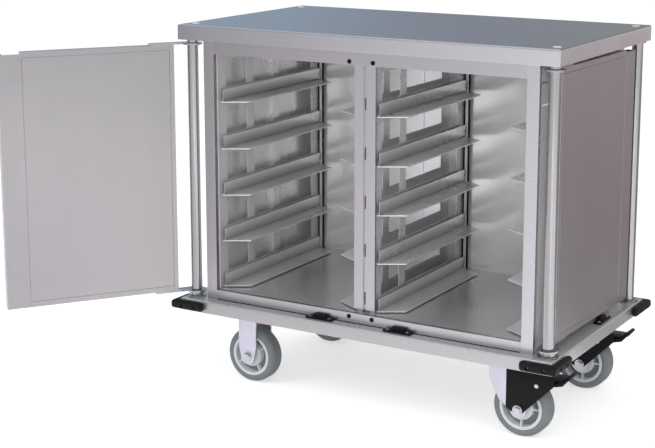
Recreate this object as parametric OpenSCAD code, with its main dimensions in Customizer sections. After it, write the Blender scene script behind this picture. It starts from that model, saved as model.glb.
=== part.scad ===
// Enclosed two-bay meal tray cart: a steel cabinet with two full-height doors,
// ten pairs of tray ledges, corner bumpers and four casters.
// Millimetres, +Z up. The origin is on the floor under the middle of the cabinet,
// the doors are at the front, which faces -Y.

/* [Lid] */
// How far the lid stands out beyond a side wall
lid_over_x = 62; // [55:1:90]
// How far the lid stands out beyond the front and the rear frame
lid_over_y = 29.5; // [20:0.5:60]
// Height of the lid's rim
lid_h = 40.5; // [25:0.5:60]
// Thickness of the lid's and the deck's sheet
pan_t = 2; // [1.5:0.1:3]
// Radius of the rounded edges of lid and deck
pan_r = 4; // [3:0.5:8]
// Diameter of the round plugs in the lid
plug_d = 21; // [12:1:30]
// Height of a plug over the lid
plug_h = 1.6; // [1:0.1:3]
// Distance of a plug from the ends of the lid
plug_inset_x = 27; // [20:1:60]
// Distance of a plug from the long edges of the lid
plug_inset_y = 46; // [20:1:80]

/* [Deck] */
// How far the deck stands out beyond a side wall
deck_over_x = 65.5; // [60:0.5:100]
// How far the deck stands out beyond the front and the rear frame
deck_over_y = 36.5; // [30:0.5:60]
// Height of the deck's top over the top of the wheels
deck_over_wheel = 87; // [84:1:148]
// Height of the deck's folded edge
deck_h = 33; // [28:1:50]
// Width of the flange folded in under the deck's edge
deck_lip = 15; // [10:1:25]
// Width of a rail of the underframe
rail_w = 94; // [90:1:110]
// Wall of an underframe rail
rail_t = 3; // [2:0.5:5]
// How far the rails stand below the deck's edge
rail_drop = 2; // [1:0.5:4]
// Width of a cross tube between the rails
cross_w = 40; // [20:1:60]

/* [Cabinet] */
// Width over the side walls
cab_len = 968; // [950:1:980]
// Depth over the front and the rear frame
cab_dep = 565; // [550:1:580]
// Clear height between deck and lid
cab_h = 713; // [700:1:760]
// Width of a stile of the front frame
stile_w = 32; // [28:1:34]
// Height of the front header
header_h = 37; // [30:1:50]
// Height of the front sill
sill_h = 27; // [26:1:32]
// Depth of the frame members
frame_d = 12; // [8:1:16]
// Thickness of walls and rear sheets
sheet_t = 1.5; // [1:0.1:2]
// Thickness of floor, ceiling and rack sheets
panel_t = 2; // [1.5:0.1:3]
// Distance of the rear seams from the middle
rear_seam = 105; // [60:1:200]
// Overlap of the rear sheets at a seam
rear_lap = 15; // [8:1:40]
// Length of a vent slot in a side wall
vent_len = 46; // [20:1:80]
// Height of a vent slot
vent_h = 4; // [2:0.5:8]
// Height of the upper vent slot's centre below the lid
vent_drop = 47; // [40:1:80]
// Distance between the two vent slots
vent_pitch = 55; // [30:1:100]
// Width of the wall stiffener behind an outer rack
rib_w = 30; // [15:1:60]
// Depth of that stiffener
rib_d = 12; // [6:1:18]
// Distance of that stiffener behind the middle
rib_y = 50; // [0:1:120]

/* [Mullion] */
// Distance from the middle to the inner edge of a mullion post
post_gap = 4.2; // [3:0.1:6]
// Width of a mullion post
post_w = 26.4; // [24:0.2:30]
// Depth of a mullion post
post_d = 8; // [5:1:12]
// Setback of the posts behind the front frame's face
post_back = 20.5; // [16:0.5:30]
// Height of a slot in the strip between the posts
strip_slot_h = 34; // [20:1:50]
// Height of such a slot over its ledge
strip_slot_up = 14; // [5:1:30]
// Height of the notch in the foot of a mullion post
foot_notch = 6; // [3:0.5:12]

/* [Racks] */
// Clear space between an outer rack panel and its side wall
rack_space = 24.5; // [20:0.5:30]
// Width of the gap between the two middle panels
mid_gap = 48; // [44:1:52]
// Number of ledges on a panel
levels = 5; // [2:1:5]
// Vertical distance between ledges
ledge_pitch = 128; // [124:1:132]
// Height of the lowest ledge's top over the cabinet floor
ledge_first = 6; // [4:1:12]
// Width of a ledge
ledge_w = 71; // [40:1:90]
// Distance of a ledge's free edge from the front and the rear of the cabinet
ledge_inset = 67.5; // [60:0.5:90]
// How much further a ledge reaches at its panel than at its free edge, per end
ledge_slant = 38; // [10:1:38]
// Outer radius of the bend between a ledge and its flange
ledge_bend = 10; // [5:0.5:14]
// Height of a ledge's upright flange
ledge_leg = 34; // [15:1:34]
// Thickness of a ledge
ledge_t = 2; // [1.5:0.1:3]
// Height of the lips bent down at a ledge's ends
ledge_lip = 4; // [2.5:0.5:5]
// Height of a window's lower edge over its ledge
win_up = 35; // [35:1:40]
// Height of a window in a rack panel
win_h = 74; // [40:1:80]
// Distance of the windows' row from the front and the rear of the cabinet
win_inset = 63.5; // [50:0.5:90]
// Width of the bar between front and rear window
win_bar = 34; // [20:1:50]
// Distance of that bar's centre in front of the middle
win_bar_y = 104; // [60:1:140]

/* [Hinges] */
// Distance of a hinge axis outside the side wall
hinge_out = 37.5; // [36:0.5:40]
// Distance of a hinge axis behind the front frame's face
hinge_back = 2.9; // [2:0.1:4]
// Diameter of the hinge tubes and rear posts
tube_d = 30; // [24:1:32]
// Wall of these tubes
tube_t = 2; // [1.5:0.1:3]
// Diameter of a hinge pin
pin_d = 12; // [8:1:14]
// How far a hinge pin reaches past the sheet that holds it
pin_past = 3; // [1:0.5:6]
// Clearance round a hinge pin, an axle or a kingpin, on the radius
fit_gap = 0.05; // [0.02:0.01:0.1]
// Diameter of a flange disc
flange_d = 52; // [44:1:56]
// Thickness of a flange disc
flange_t = 4; // [3:0.5:6]
// Diameter of the collar that carries a door
collar_d = 39; // [34:1:42]
// Height of that collar over its flange disc
collar_h = 10; // [6:1:10]
// Thickness of the lower hinge plate
low_plate_t = 5; // [3:0.5:6]
// Thickness of the upper hinge plate
high_plate_t = 4.7; // [3:0.1:6]
// Height of the bush over the upper hinge plate
bush_h = 9.3; // [6:0.1:12]
// Gap between a door's turning and standing pieces
turn_gap = 0.4; // [0.3:0.1:1]
// Distance from hinge axis to the end of a hinge plate
plate_len = 115; // [90:1:150]

/* [Doors] */
// Distance from hinge axis to a door's near edge
door_near = 51.2; // [45:0.1:55]
// Gap between the two closed doors
door_meet = 3; // [2:0.5:6]
// Distance from hinge axis to a door's inner face
door_in = 4.4; // [4:0.1:5]
// Thickness of a door
door_t = 24.6; // [20:0.2:26]
// Thickness of the door's sheet
skin_t = 1.5; // [1:0.1:2]
// Width of the open channel along the free edge
grip_w = 59; // [40:1:80]
// How much shorter that channel is at its top
grip_drop = 5; // [2:0.5:8]
// Width of the hem on the channel's outer side
grip_hem = 14; // [8:1:24]
// Border of the door at top and bottom of the liner
liner_border = 14; // [10:1:30]
// Border of the door on the hinge side of the liner
liner_side = 12; // [8:1:30]
// Gap round the liner
liner_gap = 1; // [0.5:0.1:2]
// Width of the ledge that the liner is seated on
liner_seat = 10; // [6:1:14]
// How far the left door stands open, in degrees
open_left = 125.8; // [0:0.1:270]
// How far the right door stands open, in degrees
open_right = 268.6; // [0:0.1:270]

/* [Bumpers and catches] */
// How far a corner bumper stands out from the deck
bump_out = 18; // [12:1:24]
// Length of a bumper's arm
bump_arm = 112; // [80:1:160]
// Radius of a bumper's corner
bump_r = 8; // [5:1:16]
// Length of the slope at a bumper's end
bump_slope = 12; // [6:1:16]
// Distance of a bumper's first screw from its corner
bump_screw = 38; // [30:1:50]
// Distance between a bumper's two screws on one arm
bump_pitch = 40; // [20:1:60]
// Diameter of the small screw heads
screw_d = 8; // [5:0.5:10]
// Thickness of the small screw heads
screw_t = 1.6; // [1:0.1:3]
// Length of a catch's base
catch_len = 80; // [70:1:100]
// Width of a catch's base
catch_w = 22; // [16:1:24]
// Thickness of a catch's base
catch_base = 4; // [3:0.5:6]
// Length of a catch's raised block
catch_nose = 38; // [24:1:48]
// Height of a catch's raised block
catch_h = 12; // [8:1:13]
// Distance between a catch's screws
catch_pitch = 57; // [50:1:70]
// Distance of the front catches' centres from the middle
catch_x = 116; // [80:1:200]
// Distance of the side catches' centres behind the middle
catch_y = 69; // [20:1:200]
// Diameter of a door magnet
magnet_d = 12; // [8:1:16]
// Thickness of a door magnet
magnet_t = 1; // [0.6:0.1:1.2]
// Distance of a door magnet from the middle
magnet_x = 34; // [20:1:60]
// Height of the upper magnets over the header's lower edge
magnet_up = 8.5; // [7:0.5:20]

/* [Casters] */
// Diameter of a wheel
wheel_d = 152; // [136:1:172]
// Width of a wheel
wheel_w = 50; // [40:1:54]
// Height of the tyre over the rim
tyre_h = 18; // [12:1:22]
// Diameter of a wheel's hub
hub_d = 30; // [24:1:40]
// Diameter of the disc round the hub
disc_d = 64; // [50:1:80]
// Thickness of a wheel's web
web_t = 6; // [4:1:12]
// Thickness of a rim's ring
ring_t = 9; // [6:1:12]
// Number of ribs between hub and rim
ribs = 5; // [3:1:9]
// Thickness of such a rib
rib_t = 5; // [3:0.5:8]
// Distance of the wheels' centre planes from the deck's long edges
track_inset = 113.2; // [104:0.1:130]
// Distance of the rigid casters' axles from the deck's left end
rigid_inset = 170.5; // [150:0.5:210]
// Distance of the kingpins from the deck's right end
king_inset = 159.5; // [150:0.5:210]
// Distance from kingpin to axle
trail = 42; // [30:1:50]
// Length of a caster's top plate
plate_x = 116; // [112:1:130]
// Width of a caster's top plate
plate_y = 88; // [84:1:90]
// Thickness of a caster's top plate
plate_t = 4; // [3:0.5:6]
// Distance between plate bolts, left to right
bolt_x = 96; // [94:1:100]
// Distance between plate bolts, front to back
bolt_y = 66; // [62:1:72]
// Diameter of a plate bolt
bolt_d = 8; // [6:1:10]
// Clearance round a bolt in its hole, on the radius
bolt_gap = 0.1; // [0.05:0.05:0.5]
// Thickness of a fork's legs
leg_t = 4; // [3:0.5:5]
// Distance between the legs of a fork
leg_gap = 72; // [68:1:74]
// Side play of a wheel's hub, in all
hub_play = 0.8; // [0.4:0.1:2]
// Width of a rigid fork's leg at its top
leg_top = 56; // [48:1:80]
// Height over the axle at which a rigid fork's leg starts to narrow
leg_shoulder = 28; // [20:1:50]
// Radius of a fork leg round its axle
leg_r = 22; // [18:1:28]
// Diameter of an axle
axle_d = 12; // [10:1:14]
// Width of an axle's hexagon head and nut
hex_w = 20; // [16:1:24]
// Thickness of an axle's head and nut
hex_t = 8; // [5:1:10]
// Diameter of a kingpin
king_d = 16; // [12:1:20]
// Distance from the kingpin to the front edge of a yoke
yoke_front = 40; // [34:1:44]
// Diameter of a swivel's races
race_d = 64; // [56:1:70]
// Height of a swivel's upper race
race_h = 7; // [5:1:9]

/* [Brakes] */
// Distance from axle to brake pivot, left to right
pivot_x = 49.7; // [46:0.1:54]
// Distance of the brake pivot below the top of the tyre
pivot_drop = 3.5; // [2:0.1:8]
// Diameter of the brake's pivot pin
pivot_d = 8; // [6:0.5:10]
// Diameter of the pedal's barrel
barrel_d = 16; // [14:0.5:18]
// Length of the pedal from pivot to tip, left to right
pedal_len = 95; // [80:1:110]
// Rise of the pedal from pivot to tip
pedal_rise = 45; // [35:1:48]
// Height of the pedal's level part over the pivot
pedal_level = 32; // [24:1:34]
// Distance from pivot to the bend of the pedal's tread
pedal_bend = 74; // [60:1:80]
// Thickness of the pedal's tread and cheeks
pedal_t = 4; // [3:0.5:6]
// Width of the pedal's tread
pedal_w = 56; // [40:1:62]
// Thickness of the black plate beside the wheel
guard_t = 3; // [2:0.5:4]
// Distance from the axle to the front edge of that plate
guard_front = 38; // [30:1:44]
// Distance from the brake pivot to the rear and the upper edge of that plate
guard_edge = 20; // [14:1:24]
// Depth of that plate's point below the axle
guard_point = 12; // [8:1:16]

/* [Hidden] */

$fn = 64;
left = -1;
right = 1;
front = -1;
rear = 1;

// Heights
axle_z = wheel_d / 2;
tyre_in = wheel_d - 2 * tyre_h;
pivot_z = axle_z - pivot_drop;
deck_top = wheel_d + deck_over_wheel;
lid_bottom = deck_top + cab_h;
lid_top = lid_bottom + lid_h;
floor_z = deck_top + sill_h;
ceil_z = lid_bottom - header_h;
ledge_z = [for (i = [0 : levels - 1]) floor_z + ledge_first + i * ledge_pitch];
rail_bottom = deck_top - deck_h - rail_drop;

// Plan
half_x = cab_len / 2;
half_y = cab_dep / 2;
lid_len = cab_len + 2 * lid_over_x;
lid_dep = cab_dep + 2 * lid_over_y;
deck_len = cab_len + 2 * deck_over_x;
deck_dep = cab_dep + 2 * deck_over_y;
ledge_len = cab_dep - 2 * ledge_inset;
win_len = cab_dep - 2 * win_inset;
frame_y = half_y - frame_d;
wall_x = half_x - sheet_t;
rear_in = frame_y - 2 * sheet_t;
opening_x = half_x - stile_w;
post_front = -half_y + post_back;
rack_front_mid = post_front + post_d;
rack_in = mid_gap / 2 + panel_t;
rack_out = wall_x - rack_space - panel_t;
rail_len = deck_len - 2 * (deck_lip + panel_t);

// Doors
hinge_x = half_x + hinge_out;
hinge_y = -half_y + hinge_back;
collar_top = deck_top + flange_t + collar_h;
low_plate_z = collar_top + turn_gap;
door_bottom = low_plate_z + low_plate_t;
bush_z = lid_bottom - bush_h;
door_top = bush_z - turn_gap - high_plate_t;
door_far = hinge_x - door_meet / 2;
door_out = door_in + door_t;
grip_start = door_far - grip_w;

// Casters
track_y = deck_dep / 2 - track_inset;
rigid_x = deck_len / 2 - rigid_inset;
king_x = deck_len / 2 - king_inset;
plate_z = rail_bottom - plate_t;
hub_half = (leg_gap - hub_play) / 2;
leg_out = leg_gap / 2 + leg_t;
swivel_x = king_x + trail;
race_bottom = plate_z - race_h;
crown_top = race_bottom - turn_gap;
crown_bottom = crown_top - race_h - leg_t;

// Colours
steel = [0.70, 0.70, 0.71];
steel_pale = [0.78, 0.78, 0.78];
zinc = [0.72, 0.71, 0.76];
black = [0.10, 0.10, 0.11];
white = [0.90, 0.90, 0.88];
tyre_grey = [0.45, 0.45, 0.46];
rim_grey = [0.74, 0.74, 0.73];

// ---- Shared shapes ----

// A box from its lowest to its highest corner
module block(lo, hi) {
    translate(lo) cube(hi - lo);
}

// An upright cylinder from one height to another
module post(d, z0, z1) {
    translate([0, 0, z0]) cylinder(d = d, h = z1 - z0);
}

// A cylinder along Y from one place to another
module bar_y(d, y0, y1) {
    translate([0, y1, 0]) rotate([90, 0, 0]) cylinder(d = d, h = y1 - y0);
}

// Outline of a section: a rectangle over X and Z with its two upper corners rounded
module rounded_section(width, z0, z1, r) {
    x = width / 2;
    translate([-x, z0]) square([width, z1 - r - z0]);
    translate([-x + r, z0]) square([width - 2 * r, z1 - z0]);
    for (s = [-1, 1]) translate([s * (x - r), z1 - r]) circle(r = r);
}

// A box centred on Z with its top edges rounded by r
module soft_box(len, dep, z0, z1, r) {
    intersection() {
        translate([0, dep / 2, 0]) rotate([90, 0, 0]) linear_extrude(dep)
            rounded_section(len, z0, z1, r);
        translate([-len / 2, 0, 0]) rotate([90, 0, 90]) linear_extrude(len)
            rounded_section(dep, z0, z1, r);
    }
}

// A folded sheet pan, open below, with rounded edges outside
module pan(len, dep, z0, z1) {
    x = len / 2 - pan_t;
    y = dep / 2 - pan_t;
    difference() {
        soft_box(len, dep, z0, z1, pan_r);
        block([-x, -y, z0 - 1], [x, y, z1 - pan_t]);
    }
}

// Places children at both sides, left and right, mirrored
module both_sides() {
    children();
    mirror([1, 0, 0]) children();
}

// ---- Lid ----

module lid_pan() {
    color(steel) pan(lid_len, lid_dep, lid_bottom, lid_top);
}

module lid_underplate() {
    color(steel) difference() {
        block([-lid_len / 2 + pan_t, -lid_dep / 2 + pan_t, lid_bottom],
              [lid_len / 2 - pan_t, lid_dep / 2 - pan_t, lid_bottom + pan_t]);
        for (s = [left, right]) translate([s * hinge_x, hinge_y, 0])
            post(pin_d + 2 * fit_gap, lid_bottom - 1, lid_bottom + pan_t + 1);
    }
}

module lid_plugs() {
    color(white)
    for (s = [-1, 1], t = [-1, 1])
        translate([s * (lid_len / 2 - plug_inset_x), t * (lid_dep / 2 - plug_inset_y), 0]) {
            post(plug_d, lid_top, lid_top + plug_h / 2);
            post(0.8 * plug_d, lid_top + plug_h / 2, lid_top + plug_h);
        }
}

// ---- Deck and underframe ----

module deck_pan() {
    lip_x = deck_len / 2 - pan_t - deck_lip;
    lip_y = deck_dep / 2 - pan_t - deck_lip;
    low = deck_top - deck_h;
    color(steel) difference() {
        union() {
            pan(deck_len, deck_dep, low, deck_top);
            difference() {
                block([-deck_len / 2 + pan_t, -deck_dep / 2 + pan_t, low],
                      [deck_len / 2 - pan_t, deck_dep / 2 - pan_t, low + pan_t]);
                block([-lip_x, -lip_y, low - 1], [lip_x, lip_y, low + pan_t + 1]);
            }
        }
        for (s = [left, right]) translate([s * hinge_x, hinge_y, 0])
            post(pin_d + 2 * fit_gap, deck_top - pan_t - 1, deck_top + 1);
    }
}

// Two closed rails that carry the casters, and three cross tubes between them
module underframe() {
    top = deck_top - pan_t;
    inner_y = track_y - rail_w / 2;
    color(steel) {
        for (t = [front, rear]) translate([0, t * track_y, 0]) difference() {
            block([-rail_len / 2, -rail_w / 2, rail_bottom], [rail_len / 2, rail_w / 2, top]);
            block([-rail_len / 2 - 1, -rail_w / 2 + rail_t, rail_bottom + rail_t],
                  [rail_len / 2 + 1, rail_w / 2 - rail_t, top - rail_t]);
            for (x = [-rigid_x, king_x], i = [-1, 1], j = [-1, 1])
                translate([x + i * bolt_x / 2, j * bolt_y / 2, 0])
                    post(bolt_d + 2 * bolt_gap, rail_bottom - 1, rail_bottom + rail_t + 1);
        }
        for (x = [-rigid_x, 0, king_x]) difference() {
            block([x - cross_w / 2, -inner_y, rail_bottom + rail_drop + rail_t],
                  [x + cross_w / 2, inner_y, top]);
            block([x - cross_w / 2 + rail_t, -inner_y - 1, rail_bottom + rail_drop + 2 * rail_t],
                  [x + cross_w / 2 - rail_t, inner_y + 1, top - rail_t]);
        }
    }
}

// ---- Cabinet ----

module front_header() {
    color(steel_pale) block([-opening_x, -half_y, ceil_z], [opening_x, -frame_y, lid_bottom]);
}

module front_sill() {
    color(steel_pale) block([-opening_x, -half_y, deck_top], [opening_x, -frame_y, floor_z]);
}

module front_stiles() {
    color(steel_pale) both_sides()
        block([opening_x, -half_y, deck_top], [half_x, -frame_y, lid_bottom]);
}

// Stiles, header and sill behind the rear sheets
module rear_frame() {
    color(steel) {
        both_sides() block([opening_x, frame_y, deck_top], [half_x, half_y, lid_bottom]);
        block([-opening_x, frame_y, ceil_z], [opening_x, half_y, lid_bottom]);
        block([-opening_x, frame_y, deck_top], [opening_x, half_y, floor_z]);
    }
}

// Two posts in front of the middle rack panels, with a slotted strip between
// them, notched at their feet
module mullion_posts() {
    strip_y = post_front + post_d / 2;
    middle = post_gap + post_w / 2;
    color(steel_pale) difference() {
        union() {
            both_sides() block([post_gap, post_front, floor_z],
                               [post_gap + post_w, post_front + post_d, ceil_z]);
            block([-post_gap, strip_y, floor_z + foot_notch], [post_gap, strip_y + panel_t, ceil_z]);
        }
        for (z = ledge_z)
            block([-post_gap / 2, strip_y - 1, z + strip_slot_up],
                  [post_gap / 2, strip_y + panel_t + 1, z + strip_slot_up + strip_slot_h]);
        for (s = [left, right])
            block([s * middle - post_w / 2 - 1, post_front - 1, floor_z - 1],
                  [s * middle, post_front + post_d + 1, floor_z + foot_notch]);
    }
}

// A side wall with two vent slots near its front top and a stiffener inside
module side_wall() {
    color(steel) {
        difference() {
            block([wall_x, -frame_y, deck_top], [half_x, frame_y, lid_bottom]);
            for (i = [0, 1]) {
                z = lid_bottom - vent_drop - i * vent_pitch;
                block([wall_x - 1, -frame_y + 3, z - vent_h / 2],
                      [half_x + 1, -frame_y + 3 + vent_len, z + vent_h / 2]);
            }
        }
        block([wall_x - rib_d, rib_y - rib_w / 2, floor_z],
              [wall_x, rib_y + rib_w / 2, ceil_z]);
    }
}

module side_wall_left() {
    mirror([1, 0, 0]) side_wall();
}

module side_wall_right() {
    side_wall();
}

module rear_wall_centre() {
    x = rear_seam + rear_lap;
    color(steel) block([-x, frame_y - sheet_t, deck_top], [x, frame_y, lid_bottom]);
}

module rear_wall_sides() {
    color(steel) both_sides()
        block([rear_seam, rear_in, deck_top], [wall_x, frame_y - sheet_t, lid_bottom]);
}

// A shallow closed tray: one sheet with its four edges folded away from the bay
module bay_pan(sheet_z0, sheet_z1, z0, z1) {
    block([-wall_x, -frame_y, sheet_z0], [wall_x, rear_in, sheet_z1]);
    difference() {
        block([-wall_x, -frame_y, z0], [wall_x, rear_in, z1]);
        block([-wall_x + panel_t, -frame_y + panel_t, z0 - 1],
              [wall_x - panel_t, rear_in - panel_t, z1 + 1]);
    }
}

module floor_pan() {
    color(steel) bay_pan(floor_z - panel_t, floor_z, deck_top, floor_z);
}

module ceiling_pan() {
    color(steel) bay_pan(ceil_z, ceil_z + panel_t, ceil_z, lid_bottom);
}

// ---- Racks ----

// A rack panel in the plane YZ, with two windows behind each ledge
module rack_panel(x, front_y) {
    bar0 = -win_bar_y - win_bar / 2;
    bar1 = -win_bar_y + win_bar / 2;
    color(steel) difference() {
        block([x, front_y, floor_z], [x + panel_t, rear_in, ceil_z]);
        for (z = ledge_z, w = [[-win_len / 2, bar0], [bar1, win_len / 2]])
            window(x, w[0], w[1], z + win_up, z + win_up + win_h);
    }
}

// A window through a rack panel with rounded corners
module window(x, y0, y1, z0, z1) {
    r = 5;
    translate([x - 1, 0, 0]) {
        block([0, y0 + r, z0], [panel_t + 2, y1 - r, z1]);
        block([0, y0, z0 + r], [panel_t + 2, y1, z1 - r]);
        for (y = [y0 + r, y1 - r], z = [z0 + r, z1 - r])
            translate([0, y, z]) rotate([0, 90, 0]) cylinder(r = r, h = panel_t + 2);
    }
}

module rack_panel_left_outer() {
    rack_panel(-rack_out - panel_t, -frame_y);
}

module rack_panel_left_inner() {
    rack_panel(-rack_in, rack_front_mid);
}

module rack_panel_right_inner() {
    rack_panel(rack_in - panel_t, rack_front_mid);
}

module rack_panel_right_outer() {
    rack_panel(rack_out, -frame_y);
}

// Plan outline of a ledge with slanting ends, less an inset along its free edges
module ledge_outline(inset) {
    free = ledge_len / 2 - inset;
    wall = ledge_len / 2 + ledge_slant - inset;
    polygon([[ledge_bend, -wall], [ledge_w - inset, -free],
             [ledge_w - inset, free], [ledge_bend, wall]]);
}

// Ledges on a face at x = 0, reaching along +X: an upright flange, a quarter
// bend, the flat tray support and a lip bent down round its three free edges
module ledges() {
    y = ledge_len / 2 + ledge_slant;
    color(steel) for (z = ledge_z) {
        block([0, -y, z + ledge_bend - ledge_t], [ledge_t, y, z + ledge_leg]);
        intersection() {
            translate([ledge_bend, 0, z + ledge_bend - ledge_t]) difference() {
                bar_y(2 * ledge_bend, -y, y);
                bar_y(2 * (ledge_bend - ledge_t), -y - 1, y + 1);
            }
            block([0, -y, z - ledge_t], [ledge_bend, y, z + ledge_bend - ledge_t]);
        }
        translate([0, 0, z - ledge_t]) linear_extrude(ledge_t) ledge_outline(0);
        translate([0, 0, z - ledge_t - ledge_lip]) linear_extrude(ledge_lip) difference() {
            ledge_outline(0);
            ledge_outline(ledge_t);
        }
    }
}

module ledges_left_outer() {
    translate([-rack_out, 0, 0]) ledges();
}

module ledges_left_inner() {
    translate([-rack_in, 0, 0]) mirror([1, 0, 0]) ledges();
}

module ledges_right_inner() {
    translate([rack_in, 0, 0]) ledges();
}

module ledges_right_outer() {
    translate([rack_out, 0, 0]) mirror([1, 0, 0]) ledges();
}

// ---- Bumpers, catches, magnets and small screws ----

// Places children at a deck corner, turned so that both arms run along +X and +Y
module at_corner(s, t) {
    translate([s * (deck_len / 2 + bump_out), t * (deck_dep / 2 + bump_out), 0])
        mirror([s > 0 ? 1 : 0, 0, 0]) mirror([0, t > 0 ? 1 : 0, 0]) children();
}

// Plan outline of one bumper arm, from the rounded corner to its sloped end
module bumper_arm() {
    polygon([[bump_r, 0], [bump_arm - bump_slope, 0], [bump_arm, bump_slope],
             [bump_arm, bump_out], [bump_r, bump_out]]);
}

module bumper() {
    translate([0, 0, deck_top - deck_h]) linear_extrude(deck_h) difference() {
        union() {
            bumper_arm();
            mirror([1, -1]) bumper_arm();
            intersection() {
                translate([bump_r, bump_r]) circle(r = bump_r);
                square(bump_r);
            }
        }
        translate([bump_out, bump_out]) square(bump_arm);
    }
}

module front_bumpers() {
    color(black) for (s = [left, right]) at_corner(s, front) bumper();
}

module rear_bumpers() {
    color(black) for (s = [left, right]) at_corner(s, rear) bumper();
}

// Places children at each catch, with the catch's length along X and its nose
// towards the cabinet
module at_catches() {
    for (x = [-catch_x, catch_x])
        translate([x, -half_y - catch_w / 2, deck_top]) children();
    for (s = [left, right])
        translate([s * (half_x + hinge_out + door_t / 4), catch_y, deck_top])
            rotate([0, 0, s * 90]) children();
}

module door_catches() {
    color(black) at_catches() {
        block([-catch_len / 2, -catch_w / 2, 0], [catch_len / 2, catch_w / 2, catch_base]);
        block([-catch_nose / 2, -catch_w / 2 + 6, catch_base],
              [catch_nose / 2, catch_w / 2, catch_h]);
    }
}

module deck_screws() {
    mid_z = deck_top - deck_h / 2;
    color(steel) {
        for (s = [left, right], t = [front, rear], i = [0, 1])
            at_corner(s, t) translate([bump_screw + i * bump_pitch, 0, mid_z])
                bar_y(screw_d, -screw_t, 0);
        for (s = [left, right], t = [front, rear], i = [0, 1])
            at_corner(s, t) translate([0, bump_screw + i * bump_pitch, mid_z])
                rotate([0, 0, -90]) bar_y(screw_d, -screw_t, 0);
        at_catches() for (x = [-catch_pitch / 2, catch_pitch / 2])
            translate([x, -2, 0]) post(screw_d, catch_base, catch_base + screw_t);
    }
}

module door_magnets() {
    color(black) for (s = [left, right], z = [ceil_z + magnet_up, deck_top + sill_h / 2 + 4])
        translate([s * magnet_x, 0, z]) bar_y(magnet_d, -half_y - magnet_t, -half_y);
}

// ---- Hinge sockets and rear posts ----

// The flange disc with its collar on the deck, and the bush under the lid
module hinge_sockets() {
    color(steel) for (s = [left, right]) translate([s * hinge_x, hinge_y, 0]) difference() {
        union() {
            post(flange_d, deck_top, deck_top + flange_t);
            post(collar_d, deck_top + flange_t, collar_top);
            post(tube_d, bush_z, lid_bottom);
        }
        post(pin_d + 2 * fit_gap, deck_top - 1, collar_top + 1);
        post(pin_d + 2 * fit_gap, bush_z - 1, lid_bottom + 1);
    }
}

// Fixed corner posts behind, of the same tube, each with a flange at both ends
module rear_posts() {
    color(steel) for (s = [left, right]) translate([s * hinge_x, -hinge_y, 0]) difference() {
        union() {
            post(tube_d, deck_top, lid_bottom);
            post(flange_d, deck_top, deck_top + flange_t);
            post(flange_d - 8, lid_bottom - flange_t, lid_bottom);
        }
        post(tube_d - 2 * tube_t, deck_top - 1, lid_bottom + 1);
    }
}

// ---- Doors ----
// A door is drawn with its hinge axis on Z, its width along +X and its outer
// face towards -Y, as it lies when the left door is closed.

module at_door(side) {
    open = side == left ? -open_left : -open_right;
    mirror([side == left ? 0 : 1, 0, 0])
        translate([-hinge_x, hinge_y, 0]) rotate([0, 0, open]) children();
}

// Outer sheet with folded edges, the seat for the liner, and the open grip channel
module door_shell() {
    window_x0 = door_near + liner_side;
    window_z0 = door_bottom + liner_border;
    window_z1 = door_top - liner_border;
    grip_top = door_top - grip_drop;
    seat_y = -door_in - skin_t;
    difference() {
        block([door_near, -door_out, door_bottom], [grip_start, -door_in, door_top]);
        block([door_near + skin_t, -door_out + skin_t, door_bottom + skin_t],
              [grip_start - skin_t, seat_y - skin_t, door_top - skin_t]);
        block([window_x0, seat_y, window_z0], [grip_start - skin_t, 0, window_z1]);
        block([window_x0 + liner_seat, -door_out / 2, window_z0 + liner_seat],
              [grip_start - skin_t - liner_seat, 0, window_z1 - liner_seat]);
    }
    block([grip_start, -door_in - skin_t, door_bottom], [door_far, -door_in, grip_top]);
    block([door_far - skin_t, -door_out, door_bottom], [door_far, -door_in, grip_top]);
    block([door_far - grip_hem, -door_out, door_bottom],
          [door_far, -door_out + skin_t, grip_top]);
}

module door_liner() {
    block([door_near + liner_side + liner_gap, -door_in - skin_t,
           door_bottom + liner_border + liner_gap],
          [grip_start - skin_t - liner_gap, -door_in, door_top - liner_border - liner_gap]);
}

// The tube stands between the two hinge plates
module door_tube() {
    difference() {
        post(tube_d, door_bottom, door_top);
        post(tube_d - 2 * tube_t, door_bottom - 1, door_top + 1);
    }
}

// Two plates that join tube and door, round at the axis, each with its pin
module hinge_plates() {
    for (z = [[low_plate_z, low_plate_t], [door_top, high_plate_t]]) translate([0, 0, z[0]]) {
        cylinder(d = flange_d, h = z[1]);
        block([0, -door_out, 0], [plate_len, -door_in, z[1]]);
    }
    post(pin_d, deck_top - pan_t - pin_past, low_plate_z);
    post(pin_d, door_top + high_plate_t, lid_bottom + pan_t + pin_past);
}

module door_left_shell() {
    color(steel_pale) at_door(left) door_shell();
}

module door_left_liner() {
    color(steel_pale) at_door(left) door_liner();
}

module door_left_tube() {
    color(steel) at_door(left) door_tube();
}

module door_left_hinge_plates() {
    color(steel) at_door(left) hinge_plates();
}

module door_right_shell() {
    color(steel_pale) at_door(right) door_shell();
}

module door_right_liner() {
    color(steel_pale) at_door(right) door_liner();
}

module door_right_tube() {
    color(steel) at_door(right) door_tube();
}

module door_right_hinge_plates() {
    color(steel) at_door(right) hinge_plates();
}

// ---- Casters ----

// Top plate of a caster, drilled for its four bolts
module top_plate() {
    difference() {
        block([-plate_x / 2, -plate_y / 2, plate_z], [plate_x / 2, plate_y / 2, rail_bottom]);
        for (i = [-1, 1], j = [-1, 1]) translate([i * bolt_x / 2, j * bolt_y / 2, 0])
            post(bolt_d + 2 * bolt_gap, plate_z - 1, rail_bottom + 1);
    }
}

// Places an outline, drawn in X and Z, on both sides of a wheel as a fork's legs
module legs() {
    for (y = [-leg_out, leg_gap / 2])
        translate([0, y + leg_t, 0]) rotate([90, 0, 0]) linear_extrude(leg_t) children();
}

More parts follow.
